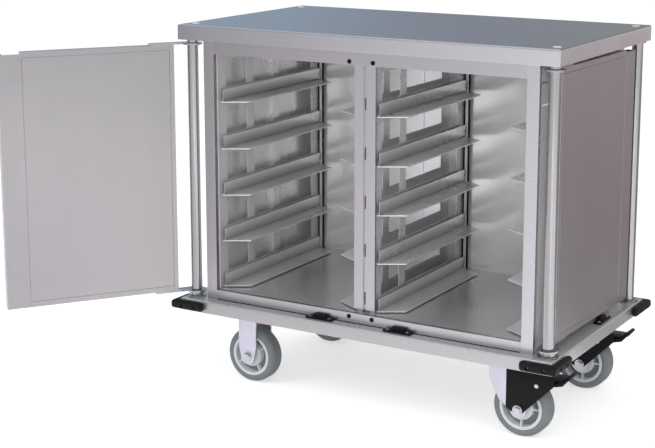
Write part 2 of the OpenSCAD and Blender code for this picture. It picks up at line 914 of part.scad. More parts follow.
// A leg that narrows from its top to a round end about the axle
module rigid_leg() {
    shoulder = axle_z + leg_shoulder;
    top = (plate_z + rail_bottom) / 2;
    difference() {
        union() {
            polygon([[-leg_top / 2, top], [leg_top / 2, top], [leg_top / 2, shoulder],
                     [leg_r, axle_z], [-leg_r, axle_z], [-leg_top / 2, shoulder]]);
            translate([0, axle_z]) circle(r = leg_r);
        }
        translate([0, axle_z]) circle(d = axle_d + 2 * fit_gap);
    }
}

module rigid_fork(y) {
    color(zinc) translate([-rigid_x, y, 0]) {
        top_plate();
        legs() rigid_leg();
    }
}

module rigid_fork_front() {
    rigid_fork(front * track_y);
}

module rigid_fork_rear() {
    rigid_fork(rear * track_y);
}

// An axle bolt along Y with a hexagon head in front and a nut behind
module axle(front_face) {
    bar_y(axle_d, front_face, leg_out);
    for (y = [front_face, leg_out + hex_t])
        translate([0, y, 0]) rotate([90, 0, 0]) cylinder(d = hex_w / cos(30), h = hex_t, $fn = 6);
}

module rigid_axles() {
    color(steel) for (t = [front, rear])
        translate([-rigid_x, t * track_y, axle_z]) axle(-leg_out);
}

// Fixed top plates of the swivel casters, each with its race and kingpin
module swivel_plates() {
    color(zinc) for (t = [front, rear]) translate([king_x, t * track_y, 0]) {
        top_plate();
        post(race_d, race_bottom, plate_z);
        post(king_d, crown_bottom - 1, race_bottom);
        post(king_d + 8, crown_bottom - 6, crown_bottom - turn_gap);
    }
}

module caster_bolts() {
    color(steel) for (x = [-rigid_x, king_x], t = [front, rear], i = [-1, 1], j = [-1, 1])
        translate([x + i * bolt_x / 2, t * track_y + j * bolt_y / 2, 0]) {
            post(bolt_d, plate_z, rail_bottom + rail_t + 6);
            translate([0, 0, plate_z - 5]) cylinder(d = bolt_d * 1.8, h = 5, $fn = 6);
        }
}

// A yoke's leg: from the crown out over the brake's pivot and down to the axle
module yoke_leg() {
    top = crown_top - race_h;
    pivot_level = axle_z + pivot_z;
    pivot = trail + pivot_x;
    yoke_waist = (trail - leg_r - yoke_front) / 2;
    difference() {
        union() {
            polygon([[-yoke_front, top], [pivot + barrel_d / 2, top],
                     [pivot + 0.75 * barrel_d, pivot_level], [trail + leg_r, axle_z],
                     [trail - leg_r, axle_z], [yoke_waist, axle_z + pivot_z / 4],
                     [-yoke_front + guard_t, pivot_level]]);
            translate([trail, axle_z]) circle(r = leg_r);
        }
        translate([trail, axle_z]) circle(d = axle_d + 2 * fit_gap);
        translate([trail + pivot_x, axle_z + pivot_z]) circle(d = pivot_d + 2 * fit_gap);
    }
}

module swivel_yoke(y) {
    color(zinc) translate([king_x, y, 0]) difference() {
        union() {
            post(race_d, crown_top - race_h, crown_top);
            block([-yoke_front, -leg_out, crown_bottom], [yoke_front, leg_out, crown_top - race_h]);
            legs() yoke_leg();
        }
        post(king_d + 2 * fit_gap, crown_bottom - 1, crown_top + 1);
    }
}

module swivel_yoke_front() {
    swivel_yoke(front * track_y);
}

module swivel_yoke_rear() {
    swivel_yoke(rear * track_y);
}

module swivel_axle(y) {
    color(steel) translate([king_x + trail, y, axle_z]) axle(-leg_out - guard_t);
}

module swivel_axle_front() {
    swivel_axle(front * track_y);
}

module swivel_axle_rear() {
    swivel_axle(rear * track_y);
}

// ---- Brakes ----

// Black plate outside the front leg, pointed round the axle's head, with the
// pivot pin of the pedal through both legs
module brake_guard(y) {
    color(black) translate([king_x + trail, y, axle_z]) {
        translate([0, -leg_out, 0]) rotate([90, 0, 0]) linear_extrude(guard_t) difference() {
            polygon([[-guard_front, pivot_z + guard_edge], [-guard_front, 0],
                     [-leg_r, -0.8 * guard_point], [leg_r / 2, -guard_point],
                     [pivot_x + guard_edge, pivot_z - 0.9 * guard_edge],
                     [pivot_x + guard_edge, pivot_z + guard_edge / 2],
                     [pivot_x + guard_edge / 2, pivot_z + guard_edge]]);
            circle(d = axle_d + 2 * fit_gap);
        }
        translate([pivot_x, 0, pivot_z]) bar_y(pivot_d, -leg_out, leg_out);
        translate([pivot_x, -leg_out - guard_t, pivot_z]) bar_y(1.5 * pivot_d, -screw_t, 0);
    }
}

module brake_guard_front() {
    brake_guard(front * track_y);
}

module brake_guard_rear() {
    brake_guard(rear * track_y);
}

// Side outline of the pedal about its pivot: deep at the pivot, level, then
// bent up to its tip
module pedal_cheek() {
    low = barrel_d / 2;
    polygon([[-low, -low], [pedal_len / 3, -low], [0.58 * pedal_len, -pedal_t / 2],
             [0.83 * pedal_len, 0.42 * pedal_rise], [pedal_len, pedal_rise - pedal_t],
             [pedal_len, pedal_rise], [pedal_bend, pedal_level],
             [pedal_bend / 2, pedal_level], [-low, low]]);
}

// Side outline of the tread along the pedal's upper edge
module pedal_tread() {
    polygon([[pedal_bend / 2, pedal_level], [pedal_bend, pedal_level], [pedal_len, pedal_rise],
             [pedal_len, pedal_rise - pedal_t], [pedal_bend + pedal_t / 4, pedal_level - pedal_t],
             [pedal_bend / 2, pedal_level - pedal_t]]);
}

// An outline in X and Z, made into a plate from one place along Y to another
module plate_y(y0, y1) {
    translate([0, y1, 0]) rotate([90, 0, 0]) linear_extrude(y1 - y0) children();
}

// Pedal between the legs: a barrel on the pivot, a shoe over the tyre, two
// cheeks and the tread that joins them
module brake_pedal(y) {
    half = pedal_w / 2;
    color(black) translate([king_x + trail + pivot_x, y, axle_z + pivot_z]) difference() {
        union() {
            bar_y(barrel_d, -half, half);
            plate_y(-half, -half + pedal_t) pedal_cheek();
            plate_y(half - pedal_t, half) pedal_cheek();
            plate_y(-half, half) pedal_tread();
            block([0, -wheel_w / 3, -barrel_d / 2 - 2], [barrel_d / 2, wheel_w / 3, 0]);
        }
        bar_y(pivot_d + 2 * fit_gap, -pedal_w, pedal_w);
    }
}

module brake_pedal_front() {
    brake_pedal(front * track_y);
}

module brake_pedal_rear() {
    brake_pedal(rear * track_y);
}

// ---- Wheels ----

// Turns an outline, drawn with the radius along X and the width along Y, about
// a wheel's axle
module wheel_turn(x, y) {
    translate([x, y, axle_z]) rotate([90, 0, 0]) rotate_extrude() children();
}

// Tyre with a flat tread between two rounded shoulders
module tyre_outline() {
    r = wheel_w / 4;
    out = wheel_d / 2;
    inner = tyre_in / 2;
    half = wheel_w / 2;
    difference() {
        union() {
            translate([inner, -half + r / 3]) square([out - r - inner, wheel_w - 2 * r / 3]);
            translate([inner, -half + r]) square([out - inner, wheel_w - 2 * r]);
            for (s = [-1, 1]) translate([out - r, s * (half - r)]) circle(r = r);
        }
        translate([0, -wheel_w]) square([inner, 2 * wheel_w]);
    }
}

// Outline of one ring of a wheel, between two radii and of one width
module ring(r0, r1, width) {
    translate([r0, -width / 2]) square([r1 - r0, width]);
}

// Rim, thin web and hub in one, with the bore for the axle
module rim_outline() {
    out = tyre_in / 2 - fit_gap;
    bore = axle_d / 2 + fit_gap;
    ring(out - ring_t, out, 0.8 * wheel_w);
    ring(bore, out, web_t);
    ring(bore, hub_d / 2, 2 * hub_half);
    ring(bore, disc_d / 2, 0.68 * wheel_w);
}

// The rim with its ribs across the web, the first rib at an angle below +X
module rim(x, y, first) {
    half = 0.26 * wheel_w;
    color(rim_grey) {
        wheel_turn(x, y) rim_outline();
        for (i = [0 : ribs - 1]) translate([x, y, axle_z]) rotate([0, first + i * 360 / ribs, 0])
            block([disc_d / 2 - ring_t / 2, -half, -rib_t / 2],
                  [tyre_in / 2 - ring_t / 2, half, rib_t / 2]);
    }
}

module tyre(x, y) {
    color(tyre_grey) wheel_turn(x, y) tyre_outline();
}

module tyre_rigid_front() {
    tyre(-rigid_x, front * track_y);
}

module rim_rigid_front() {
    rim(-rigid_x, front * track_y, 180 / ribs);
}

module tyre_rigid_rear() {
    tyre(-rigid_x, rear * track_y);
}

module rim_rigid_rear() {
    rim(-rigid_x, rear * track_y, 180 / ribs);
}

module tyre_swivel_front() {
    tyre(swivel_x, front * track_y);
}

module rim_swivel_front() {
    rim(swivel_x, front * track_y, 0);
}

module tyre_swivel_rear() {
    tyre(swivel_x, rear * track_y);
}

module rim_swivel_rear() {
    rim(swivel_x, rear * track_y, 0);
}

lid_pan();
lid_underplate();
lid_plugs();
deck_pan();
underframe();
front_header();
front_sill();
front_stiles();
mullion_posts();
rear_frame();
side_wall_left();
side_wall_right();
rear_wall_centre();
rear_wall_sides();
floor_pan();
ceiling_pan();
rack_panel_left_outer();
rack_panel_left_inner();
rack_panel_right_inner();
rack_panel_right_outer();
ledges_left_outer();
ledges_left_inner();
ledges_right_inner();
ledges_right_outer();
front_bumpers();
rear_bumpers();
deck_screws();
door_catches();
door_magnets();
rear_posts();
hinge_sockets();
door_left_shell();
door_left_liner();
door_left_tube();
door_left_hinge_plates();
door_right_shell();
door_right_liner();
door_right_tube();
door_right_hinge_plates();
rigid_fork_front();
rigid_fork_rear();
rigid_axles();
swivel_plates();
caster_bolts();
swivel_yoke_front();
swivel_axle_front();
brake_guard_front();
brake_pedal_front();
swivel_yoke_rear();
swivel_axle_rear();
brake_guard_rear();
brake_pedal_rear();
tyre_rigid_front();
rim_rigid_front();
tyre_rigid_rear();
rim_rigid_rear();
tyre_swivel_front();
rim_swivel_front();
tyre_swivel_rear();
rim_swivel_rear();
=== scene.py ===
# %% [markdown]
# # Enclosed meal tray cart
# This notebook dresses the CAD model of a steel cart that carries meal trays.
# The CAD solids already have the right places and joints, so they stay, and
# each gets the finish of the real sheet, tube, rubber or casting. Small parts
# that a solid only hints at are modelled here: tray ledges, rubber bumpers,
# catches, tyres, wheel centres, pedals, bolts, screws and trim. The few sizes
# that both models share are named once, at the start.

# %% Open the frame
import math

import bmesh
import bpy
from mathutils import Matrix, Vector


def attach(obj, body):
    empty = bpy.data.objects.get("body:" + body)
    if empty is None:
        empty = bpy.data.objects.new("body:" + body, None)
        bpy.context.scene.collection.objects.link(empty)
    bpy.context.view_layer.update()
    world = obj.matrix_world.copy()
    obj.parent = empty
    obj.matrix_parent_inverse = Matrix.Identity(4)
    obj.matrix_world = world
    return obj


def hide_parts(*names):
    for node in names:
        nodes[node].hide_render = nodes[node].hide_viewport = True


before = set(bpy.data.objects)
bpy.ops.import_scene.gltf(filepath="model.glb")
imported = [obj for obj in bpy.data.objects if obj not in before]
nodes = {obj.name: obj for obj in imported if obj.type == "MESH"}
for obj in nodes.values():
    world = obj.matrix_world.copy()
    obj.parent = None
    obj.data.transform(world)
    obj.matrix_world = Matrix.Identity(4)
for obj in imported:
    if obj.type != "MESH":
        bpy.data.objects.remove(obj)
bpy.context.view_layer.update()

MM = 0.001

# %% Sizes taken from the CAD source, in millimetres
LEDGE_FOOT, LEDGE_STEP = 272, 128
BAY_BOTTOM, BAY_TOP = 266.2, 914.8
DECK_X, DECK_Y, DECK_TOP, LID_TOP = 549.5, 319, 239, 992.5
AXLE_HEIGHT, WHEEL_Y = 76, 205.8
RIGID_X, SWIVEL_X = -379, 432
PIVOT_X, PIVOT_Z = 49.7, 72.5
print("ledges every", LEDGE_STEP, "mm, bay", BAY_TOP - BAY_BOTTOM, "mm high")

# %% [markdown]
# ## Camera
# The photograph looks at the cart from the front right, from about the height
# of a standing person, and its upright edges stay upright, as with a shifted
# lens. A shift follows the camera into every other view and pushes the cart out
# of the picture there, so here the camera tilts down and keeps only a small
# shift. Upright edges lean by two and a half degrees at most.

# %% Set the camera
camera_data = bpy.data.cameras.new("camera")
camera = bpy.data.objects.new("camera", camera_data)
bpy.context.scene.collection.objects.link(camera)
bpy.context.scene.camera = camera
camera.location = (1.87369, -3.55951, 1.42023)
camera.rotation_euler = (math.radians(90 - 11.129), 0, math.radians(30.673))
camera_data.sensor_width = 36
camera_data.lens = 83.3
camera_data.shift_x = -0.0145
camera_data.shift_y = -0.10
camera_data.clip_end = 200
bpy.context.scene.view_settings.view_transform = "Standard"
print("camera at", tuple(camera.location))

# %% [markdown]
# ## Small helpers
# A bpy operator works on whatever is selected, and the CAD nodes come in
# selected. These helpers deselect everything first, then pick faces, edges or
# points by their place, as one would by hand. A place stays right when another
# edit changes the number of faces, and a number in a list doesn't.

# %% Select
def start_clean():
    if bpy.context.object and bpy.context.object.mode != "OBJECT":
        bpy.ops.object.mode_set(mode="OBJECT")
    bpy.ops.object.select_all(action="DESELECT")


def work_on(piece):
    start_clean()
    piece.select_set(True)
    bpy.context.view_layer.objects.active = piece


def pick(piece, kind, test):
    """Selects the faces, edges or points of piece for which test(middle) is true."""
    if piece.mode != "EDIT":
        work_on(piece)
        bpy.ops.object.mode_set(mode="EDIT")
    bpy.ops.mesh.select_mode(type=kind)
    bpy.ops.mesh.select_all(action="DESELECT")
    mesh = bmesh.from_edit_mesh(piece.data)
    place = piece.matrix_world
    count = 0
    if kind == "VERT":
        for point in mesh.verts:
            if test(place @ point.co):
                point.select_set(True)
                count += 1
    elif kind == "EDGE":
        for edge in mesh.edges:
            ends = [place @ point.co for point in edge.verts]
            if test((ends[0] + ends[1]) / 2, (ends[1] - ends[0]).normalized()):
                edge.select_set(True)
                count += 1
    else:
        for face in mesh.faces:
            normal = (place.to_3x3() @ face.normal).normalized()
            if test(place @ face.calc_center_median(), normal):
                face.select_set(True)
                count += 1
    mesh.select_flush_mode()
    bmesh.update_edit_mesh(piece.data)
    return count


def pick_all():
    bpy.ops.mesh.select_all(action="SELECT")


print("selecting ready")

# %% Edit what is selected
def push(x=0, y=0, z=0):
    """Extrudes what is selected by that many millimetres."""
    bpy.ops.mesh.extrude_region_move(
        TRANSFORM_OT_translate={"value": (x * MM, y * MM, z * MM)})


def move(x=0, y=0, z=0):
    bpy.ops.transform.translate(value=(x * MM, y * MM, z * MM))


def leave_mesh():
    bpy.ops.object.mode_set(mode="OBJECT")


def close_mesh(merge=0):
    """Joins points nearer than merge millimetres, turns the faces out, leaves edit mode."""
    pick_all()
    if merge:
        bpy.ops.mesh.remove_doubles(threshold=merge * MM)
    bpy.ops.mesh.normals_make_consistent(inside=False)
    leave_mesh()


print("editing ready")

# %% Blocks and discs
def cube(lo, hi):
    """A block from its lowest to its highest corner, in millimetres."""
    start_clean()
    middle = [(a + b) / 2 * MM for a, b in zip(lo, hi)]
    size = [(b - a) * MM for a, b in zip(lo, hi)]
    bpy.ops.mesh.primitive_cube_add(size=1, location=middle)
    piece = bpy.context.object
    piece.scale = size
    bpy.ops.object.transform_apply(location=True, rotation=True, scale=True)
    return piece


def disc(radius, depth, middle, axis="Z", sides=32):
    """A short cylinder along an axis, in millimetres."""
    start_clean()
    turn = {"X": (0, math.pi / 2, 0), "Y": (math.pi / 2, 0, 0), "Z": (0, 0, 0)}[axis]
    bpy.ops.mesh.primitive_cylinder_add(
        vertices=sides, radius=radius * MM, depth=depth * MM,
        location=[value * MM for value in middle], rotation=turn)
    piece = bpy.context.object
    bpy.ops.object.transform_apply(location=True, rotation=True, scale=True)
    return piece


print("blocks and discs ready")

# %% Outlines, plates and spun sections
def outline(points, standing=True):
    """A flat face from its corners in millimetres: (x, z) pairs, or (x, y) if not standing."""
    start_clean()
    turn = (math.pi / 2, 0, 0) if standing else (0, 0, 0)
    bpy.ops.mesh.primitive_circle_add(vertices=len(points), radius=1, fill_type="NGON",
                                      rotation=turn)
    piece = bpy.context.object
    bpy.ops.object.transform_apply(location=True, rotation=True, scale=True)
    corners = [point.co.copy() for point in piece.data.vertices]
    for corner, (across, up) in zip(corners, points):
        pick(piece, "VERT", lambda point: (point - corner).length < 1e-4)
        target = Vector((across, 0, up) if standing else (across, up, 0)) * MM
        bpy.ops.transform.translate(value=target - corner)
    leave_mesh()
    return piece


def plate(points, y0, y1):
    """A plate with a standing outline, from y0 to y1 millimetres."""
    piece = outline(points)
    pick(piece, "VERT", lambda point: True)
    move(y=y0)
    pick_all()
    push(y=y1 - y0)
    close_mesh()
    return piece


def spun(points, steps=64):
    """Spins a closed section, (radius, y) in millimetres, about the Y axis."""
    piece = outline(points, standing=False)
    pick(piece, "VERT", lambda point: True)
    spin_open(steps)
    close_mesh(merge=0.01)
    return piece


def spin_open(steps):
    """Spins the rim of what is selected once round the Y axis, without its faces."""
    bpy.ops.mesh.delete(type="ONLY_FACE")
    pick_all()
    bpy.ops.mesh.spin(steps=steps, angle=math.radians(360), center=(0, 0, 0), axis=(0, 1, 0))


print("plates and spun sections ready")

# %% Cut, round and join
def apply_modifier(piece, kind, **settings):
    work_on(piece)
    modifier = piece.modifiers.new(kind.lower(), kind)
    for name, value in settings.items():
        setattr(modifier, name, value)
    bpy.ops.object.modifier_apply(modifier=modifier.name)


def throw_away(*pieces):
    for piece in pieces:
        bpy.data.objects.remove(piece, do_unlink=True)


def cut(piece, tool, operation="DIFFERENCE"):
    """Cuts the tool's shape out of piece, or welds it on with operation UNION."""
    apply_modifier(piece, "BOOLEAN", operation=operation, object=tool, solver="EXACT")
    throw_away(tool)


def round_edges(piece, width, segments=2, angle=30):
    """Rounds every edge sharper than angle by width millimetres."""
    apply_modifier(piece, "BEVEL", width=width * MM, segments=segments,
                   limit_method="ANGLE", angle_limit=math.radians(angle))


def join(pieces):
    work_on(pieces[0])
    for piece in pieces:
        piece.select_set(True)
    bpy.context.view_layer.objects.active = pieces[0]
    bpy.ops.object.join()
    return pieces[0]


print("modifiers and joining ready")

# %% Copy, finish and place
def copy_of(piece, matrix):
    """A copy with its own mesh, placed by matrix; a mirrored one is turned right side out."""
    twin = piece.copy()
    twin.data = piece.data.copy()
    bpy.context.scene.collection.objects.link(twin)
    twin.data.transform(matrix)
    if matrix.determinant() < 0:
        twin.data.flip_normals()
    return twin


def settle(piece, name, body, material, smooth=32):
    """Names a finished piece, gives it its finish and lets it ride on its body."""
    work_on(piece)
    bpy.ops.object.transform_apply(location=True, rotation=True, scale=True)
    bpy.ops.object.shade_smooth_by_angle(angle=math.radians(smooth))
    piece.name = name
    piece.data.name = name
    piece.data.materials.clear()
    piece.data.materials.append(material)
    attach(piece, body)
    return piece


def shift(x, y, z):
    return Matrix.Translation((x * MM, y * MM, z * MM))


def turned(axis, degrees):
    return Matrix.Rotation(math.radians(degrees), 4, axis)


print("copies and finishing ready")

# %% [markdown]
# ## Studio
# The cart stands on a plain pale floor in even, soft light. Steel has no colour
# of its own to speak of: it shows what stands round it. So the studio has grey
# cards that only reflections can see: one ring behind for the lid, and two
# cards lying on the floor, which darken the folded door and the front a little.

# %% World
def shader_tree(material):
    material.use_nodes = True
    tree = material.node_tree
    tree.nodes.clear()
    return tree, tree.nodes, tree.links


def seen_by_eye_or_metal(tree):
    """1 for camera, glossy and transmission rays, 0 for the light itself."""
    path = tree.nodes.new("ShaderNodeLightPath")
    first = tree.nodes.new("ShaderNodeMath")
    first.operation = "MAXIMUM"
    second = tree.nodes.new("ShaderNodeMath")
    second.operation = "MAXIMUM"
    tree.links.new(path.outputs["Is Camera Ray"], first.inputs[0])
    tree.links.new(path.outputs["Is Glossy Ray"], first.inputs[1])
    tree.links.new(first.outputs[0], second.inputs[0])
    tree.links.new(path.outputs["Is Transmission Ray"], second.inputs[1])
    return second.outputs[0]


world = bpy.data.worlds.new("studio")
bpy.context.scene.world = world
tree, new, link = shader_tree(world)
chooser = new.new("ShaderNodeMixShader")
link.new(seen_by_eye_or_metal(tree), chooser.inputs[0])
for socket, strength in ((1, 0.62), (2, 1.0)):
    light = new.new("ShaderNodeBackground")
    light.inputs["Color"].default_value = (1, 1, 1, 1)
    light.inputs["Strength"].default_value = strength
    link.new(light.outputs[0], chooser.inputs[socket])
result = new.new("ShaderNodeOutputWorld")
link.new(chooser.outputs[0], result.inputs["Surface"])
print("world ready")

# %% Floor
start_clean()
bpy.ops.mesh.primitive_plane_add(size=80, location=(0, 0, 0))
floor = bpy.context.object
floor.name = "studio_floor"
material = bpy.data.materials.new("floor_paper")
tree, new, link = shader_tree(material)
paper = new.new("ShaderNodeBsdfDiffuse")
paper.inputs["Color"].default_value = (0.82, 0.82, 0.82, 1)
glow = new.new("ShaderNodeEmission")
glow.inputs["Color"].default_value = (1, 1, 1, 1)
total = new.new("ShaderNodeAddShader")
scaled = new.new("ShaderNodeMath")
scaled.operation = "MULTIPLY"
scaled.inputs[1].default_value = 0.50
result = new.new("ShaderNodeOutputMaterial")
link.new(seen_by_eye_or_metal(tree), scaled.inputs[0])
link.new(scaled.outputs[0], glow.inputs["Strength"])
link.new(paper.outputs[0], total.inputs[0])
link.new(glow.outputs[0], total.inputs[1])
link.new(total.outputs[0], result.inputs["Surface"])
floor.data.materials.append(material)
print("floor ready")

# %% Paint for the cards
def card_paint(name, low, high, colours, axis=0):
    """Paint for a card: colours blended along one of its own axes, from low to high metres."""
    material = bpy.data.materials.new(name)
    tree, new, link = shader_tree(material)
    place = new.new("ShaderNodeTexCoord")
    split = new.new("ShaderNodeSeparateXYZ")
    reach = new.new("ShaderNodeMapRange")
    reach.inputs["From Min"].default_value = low
    reach.inputs["From Max"].default_value = high
    ramp = new.new("ShaderNodeValToRGB")
    ramp.color_ramp.interpolation = "EASE"
    stops = ramp.color_ramp.elements
    while len(stops) < len(colours):
        stops.new(0.5)
    for number, colour in enumerate(colours):
        stops[number].position = number / (len(colours) - 1)
        stops[number].color = (*colour, 1)
    glow = new.new("ShaderNodeEmission")
    result = new.new("ShaderNodeOutputMaterial")
    link.new(place.outputs["Object"], split.inputs[0])
    link.new(split.outputs[axis], reach.inputs["Value"])
    link.new(reach.outputs[0], ramp.inputs[0])
    link.new(ramp.outputs[0], glow.inputs["Color"])
    link.new(glow.outputs[0], result.inputs["Surface"])
    return material


def only_in_reflections(card):
    card.visible_camera = False
    card.visible_diffuse = False
    card.visible_shadow = False
    card.visible_transmission = False
    card.visible_volume_scatter = False


print("card paint ready")

# %% Ring and floor cards
start_clean()
bpy.ops.mesh.primitive_cylinder_add(
    vertices=96, radius=9, depth=6.05, end_fill_type="NOTHING", location=(0, 0, 3.975))
wall_ring = bpy.context.object
bpy.ops.object.transform_apply(location=True, rotation=True, scale=True)
wall_ring.name = "studio_ring"
wall_ring.data.materials.append(card_paint(
    "ring_paint", -7.0, -2.2,
    [(0.44, 0.62, 0.74), (0.36, 0.45, 0.56), (0.30, 0.33, 0.40), (0.33, 0.35, 0.35)]))
only_in_reflections(wall_ring)


def floor_card(name, x0, x1, y0, y1, z, paint):
    start_clean()
    bpy.ops.mesh.primitive_plane_add(size=1, location=((x0 + x1) / 2, (y0 + y1) / 2, z))
    card = bpy.context.object
    card.scale = (x1 - x0, y1 - y0, 1)
    bpy.ops.object.transform_apply(location=True, rotation=True, scale=True)
    card.name = name
    card.data.materials.append(paint)
    only_in_reflections(card)
    return card


floor_card("studio_card_right", 0.62, 7.0, 0.45, 12.0, 0.004, card_paint(
    "right_card_paint", 0.4, 4.0,
    [(0.42, 0.40, 0.40), (0.42, 0.37, 0.385), (0.47, 0.40, 0.42)], axis=1))
floor_card("studio_card_front", -12.0, 1.0, -12.0, -0.9, 0.004, card_paint(
    "front_card_paint", -5.0, 1.0,
    [(0.60, 0.55, 0.57), (0.92, 0.88, 0.93), (1.12, 1.11, 1.16)], axis=0))
print("three reflection cards")

# %% Lamps
def soft_lamp(name, place, target, size, power):
    lamp_data = bpy.data.lights.new(name, "AREA")
    lamp_data.shape = "SQUARE"
    lamp_data.size = size
    lamp_data.energy = power
    lamp = bpy.data.objects.new(name, lamp_data)
    bpy.context.scene.collection.objects.link(lamp)
    lamp.location = place
    aim = Vector(target) - Vector(place)
    lamp.rotation_euler = aim.to_track_quat("-Z", "Y").to_euler()
    lamp.visible_glossy = False
    return lamp


soft_lamp("key_lamp", (-2.4, -3.4, 4.0), (0, 0, 0.4), 3.0, 95)
soft_lamp("side_lamp", (3.2, -1.2, 3.0), (0, 0, 0.5), 2.5, 30)
soft_lamp("front_lamp", (1.6, -4.4, 1.5), (0, 0, 0.55), 2.2, 60)
print("three soft lamps")

# %% [markdown]
# ## Effects that several finishes share
# Brushed sheet has fine lines in one direction and wide, faint bands where the
# belt has passed. Everything that is touched gets cloudy marks. Corners are
# polished bright by wear, and the same bright edge colour paints a highlight along
# every edge. Each effect is one node group, built once, so that all the
# sheets wear in the same way.

# %% Building nodes
def effect_group(name, inputs, outputs):
    group = bpy.data.node_groups.new(name, "ShaderNodeTree")
    for label, kind, value in inputs:
        socket = group.interface.new_socket(label, in_out="INPUT", socket_type=kind)
        if value is not None:
            socket.default_value = value
    for label, kind in outputs:
        group.interface.new_socket(label, in_out="OUTPUT", socket_type=kind)
    return group, group.nodes.new("NodeGroupInput"), group.nodes.new("NodeGroupOutput")


def noise(tree, vector, scale, detail=3.0, rough=0.5):
    node = tree.nodes.new("ShaderNodeTexNoise")
    node.inputs["Scale"].default_value = scale
    node.inputs["Detail"].default_value = detail
    node.inputs["Roughness"].default_value = rough
    tree.links.new(vector, node.inputs["Vector"])
    return node.outputs["Fac"]


def arithmetic(tree, kind, first, second, clamp=False):
    node = tree.nodes.new("ShaderNodeMath")
    node.operation = kind
    node.use_clamp = clamp
    for socket, value in zip(node.inputs, (first, second)):
        if isinstance(value, (int, float)):
            socket.default_value = value
        else:
            tree.links.new(value, socket)
    return node.outputs[0]


def spread(tree, value, low, high, to_low, to_high):
    node = tree.nodes.new("ShaderNodeMapRange")
    for label, number in (("From Min", low), ("From Max", high),
                          ("To Min", to_low), ("To Max", to_high)):
        node.inputs[label].default_value = number
    tree.links.new(value, node.inputs["Value"])
    return node.outputs[0]


print("noise, sums and ranges ready")

# %% Splitting, blending and placing groups
def part_of(tree, vector, axis):
    """One part of a vector: 0, 1 or 2 for X, Y or Z."""
    node = tree.nodes.new("ShaderNodeSeparateXYZ")
    tree.links.new(vector, node.inputs[0])
    return node.outputs[axis]


def blend(tree, factor, first, second):
    """Colour or socket first where factor is 0, second where it is 1."""
    node = tree.nodes.new("ShaderNodeMix")
    node.data_type = "RGBA"
    tree.links.new(factor, node.inputs["Factor"])
    for socket, value in ((node.inputs[6], first), (node.inputs[7], second)):
        if isinstance(value, tuple):
            socket.default_value = (*value, 1)
        else:
            tree.links.new(value, socket)
    return node.outputs[2]


def effect(tree, group, vector, scale=(1, 1, 1)):
    """Puts one of the shared groups into a material, over coordinates stretched by scale."""
    node = tree.nodes.new("ShaderNodeGroup")
    node.node_tree = group
    if scale != (1, 1, 1):
        stretched = tree.nodes.new("ShaderNodeMapping")
        stretched.inputs["Scale"].default_value = scale
        tree.links.new(vector, stretched.inputs["Vector"])
        vector = stretched.outputs[0]
    tree.links.new(vector, node.inputs["Vector"])
    return node


print("node helpers ready")

# %% The three groups
brushed, entry, leave = effect_group(
    "brushed_lines",
    [("Vector", "NodeSocketVector", None)],
    [("Line", "NodeSocketFloat"), ("Band", "NodeSocketFloat")])
fine = noise(brushed, entry.outputs["Vector"], 700, 4.0, 0.65)
middle_lines = noise(brushed, entry.outputs["Vector"], 160, 3.0, 0.6)
wide = noise(brushed, entry.outputs["Vector"], 9, 3.0, 0.55)
lines = arithmetic(brushed, "ADD", fine, middle_lines)
brushed.links.new(arithmetic(brushed, "MULTIPLY", lines, 0.5), leave.inputs["Line"])
brushed.links.new(spread(brushed, wide, 0.3, 0.7, 0.0, 1.0), leave.inputs["Band"])

marks, entry, leave = effect_group(
    "handling_marks",
    [("Vector", "NodeSocketVector", None)],
    [("Cloud", "NodeSocketFloat"), ("Smudge", "NodeSocketFloat")])
cloud = noise(marks, entry.outputs["Vector"], 3.2, 4.0, 0.55)
smudge = noise(marks, entry.outputs["Vector"], 17, 5.0, 0.6)
marks.links.new(spread(marks, cloud, 0.3, 0.7, 0.0, 1.0), leave.inputs["Cloud"])
marks.links.new(spread(marks, smudge, 0.55, 0.75, 0.0, 1.0), leave.inputs["Smudge"])

# Edge wear and painted highlight: a mask for the bright colour painted along every edge.
rubbed_and_highlight, entry, leave = effect_group(
    "rubbed_edges",
    [("Rounded normal", "NodeSocketVector", None), ("Vector", "NodeSocketVector", None)],
    [("Edge", "NodeSocketFloat")])
surface = rubbed_and_highlight.nodes.new("ShaderNodeNewGeometry")
compare = rubbed_and_highlight.nodes.new("ShaderNodeVectorMath")
compare.operation = "DOT_PRODUCT"
rubbed_and_highlight.links.new(surface.outputs["Normal"], compare.inputs[0])
rubbed_and_highlight.links.new(entry.outputs["Rounded normal"], compare.inputs[1])
edge = spread(rubbed_and_highlight, compare.outputs["Value"], 0.99, 0.80, 0.0, 1.0)
broken = spread(rubbed_and_highlight, noise(rubbed_and_highlight, entry.outputs["Vector"], 60, 3.0), 0.35, 0.65, 0.4, 1.0)
rubbed_and_highlight.links.new(arithmetic(rubbed_and_highlight, "MULTIPLY", edge, broken, clamp=True), leave.inputs["Edge"])
print("groups:", [group.name for group in (brushed, marks, rubbed_and_highlight)])

# %% [markdown]
# ## Finishes
# All steel is stainless with a satin brush, and each group of parts has its own
# direction of the lines. Each group also has its own tone, painted lighter or
# darker for the light that it stands in: inside the bays, walls, racks, ledges and
# floor are painted much lighter than the steel outside, and the rear walls nearly
# white. The zinc of the casters is a little bluer.

# %% Parts of a finish
def soft_edges(tree, radius):
    """The normal with every edge rounded by radius millimetres."""
    node = tree.nodes.new("ShaderNodeBevel")
    node.samples = 4
    node.inputs["Radius"].default_value = radius * MM
    return node.outputs[0]


def facing_for_painted_light(tree, side, top):
    """Runs from side, on an upright face, to top, on a face that looks up; it places painted light
    by which way a face looks.
    """
    normal = tree.nodes.new("ShaderNodeNewGeometry").outputs["Normal"]
    return spread(tree, part_of(tree, normal, 2), 0.3, 0.9, side, top)


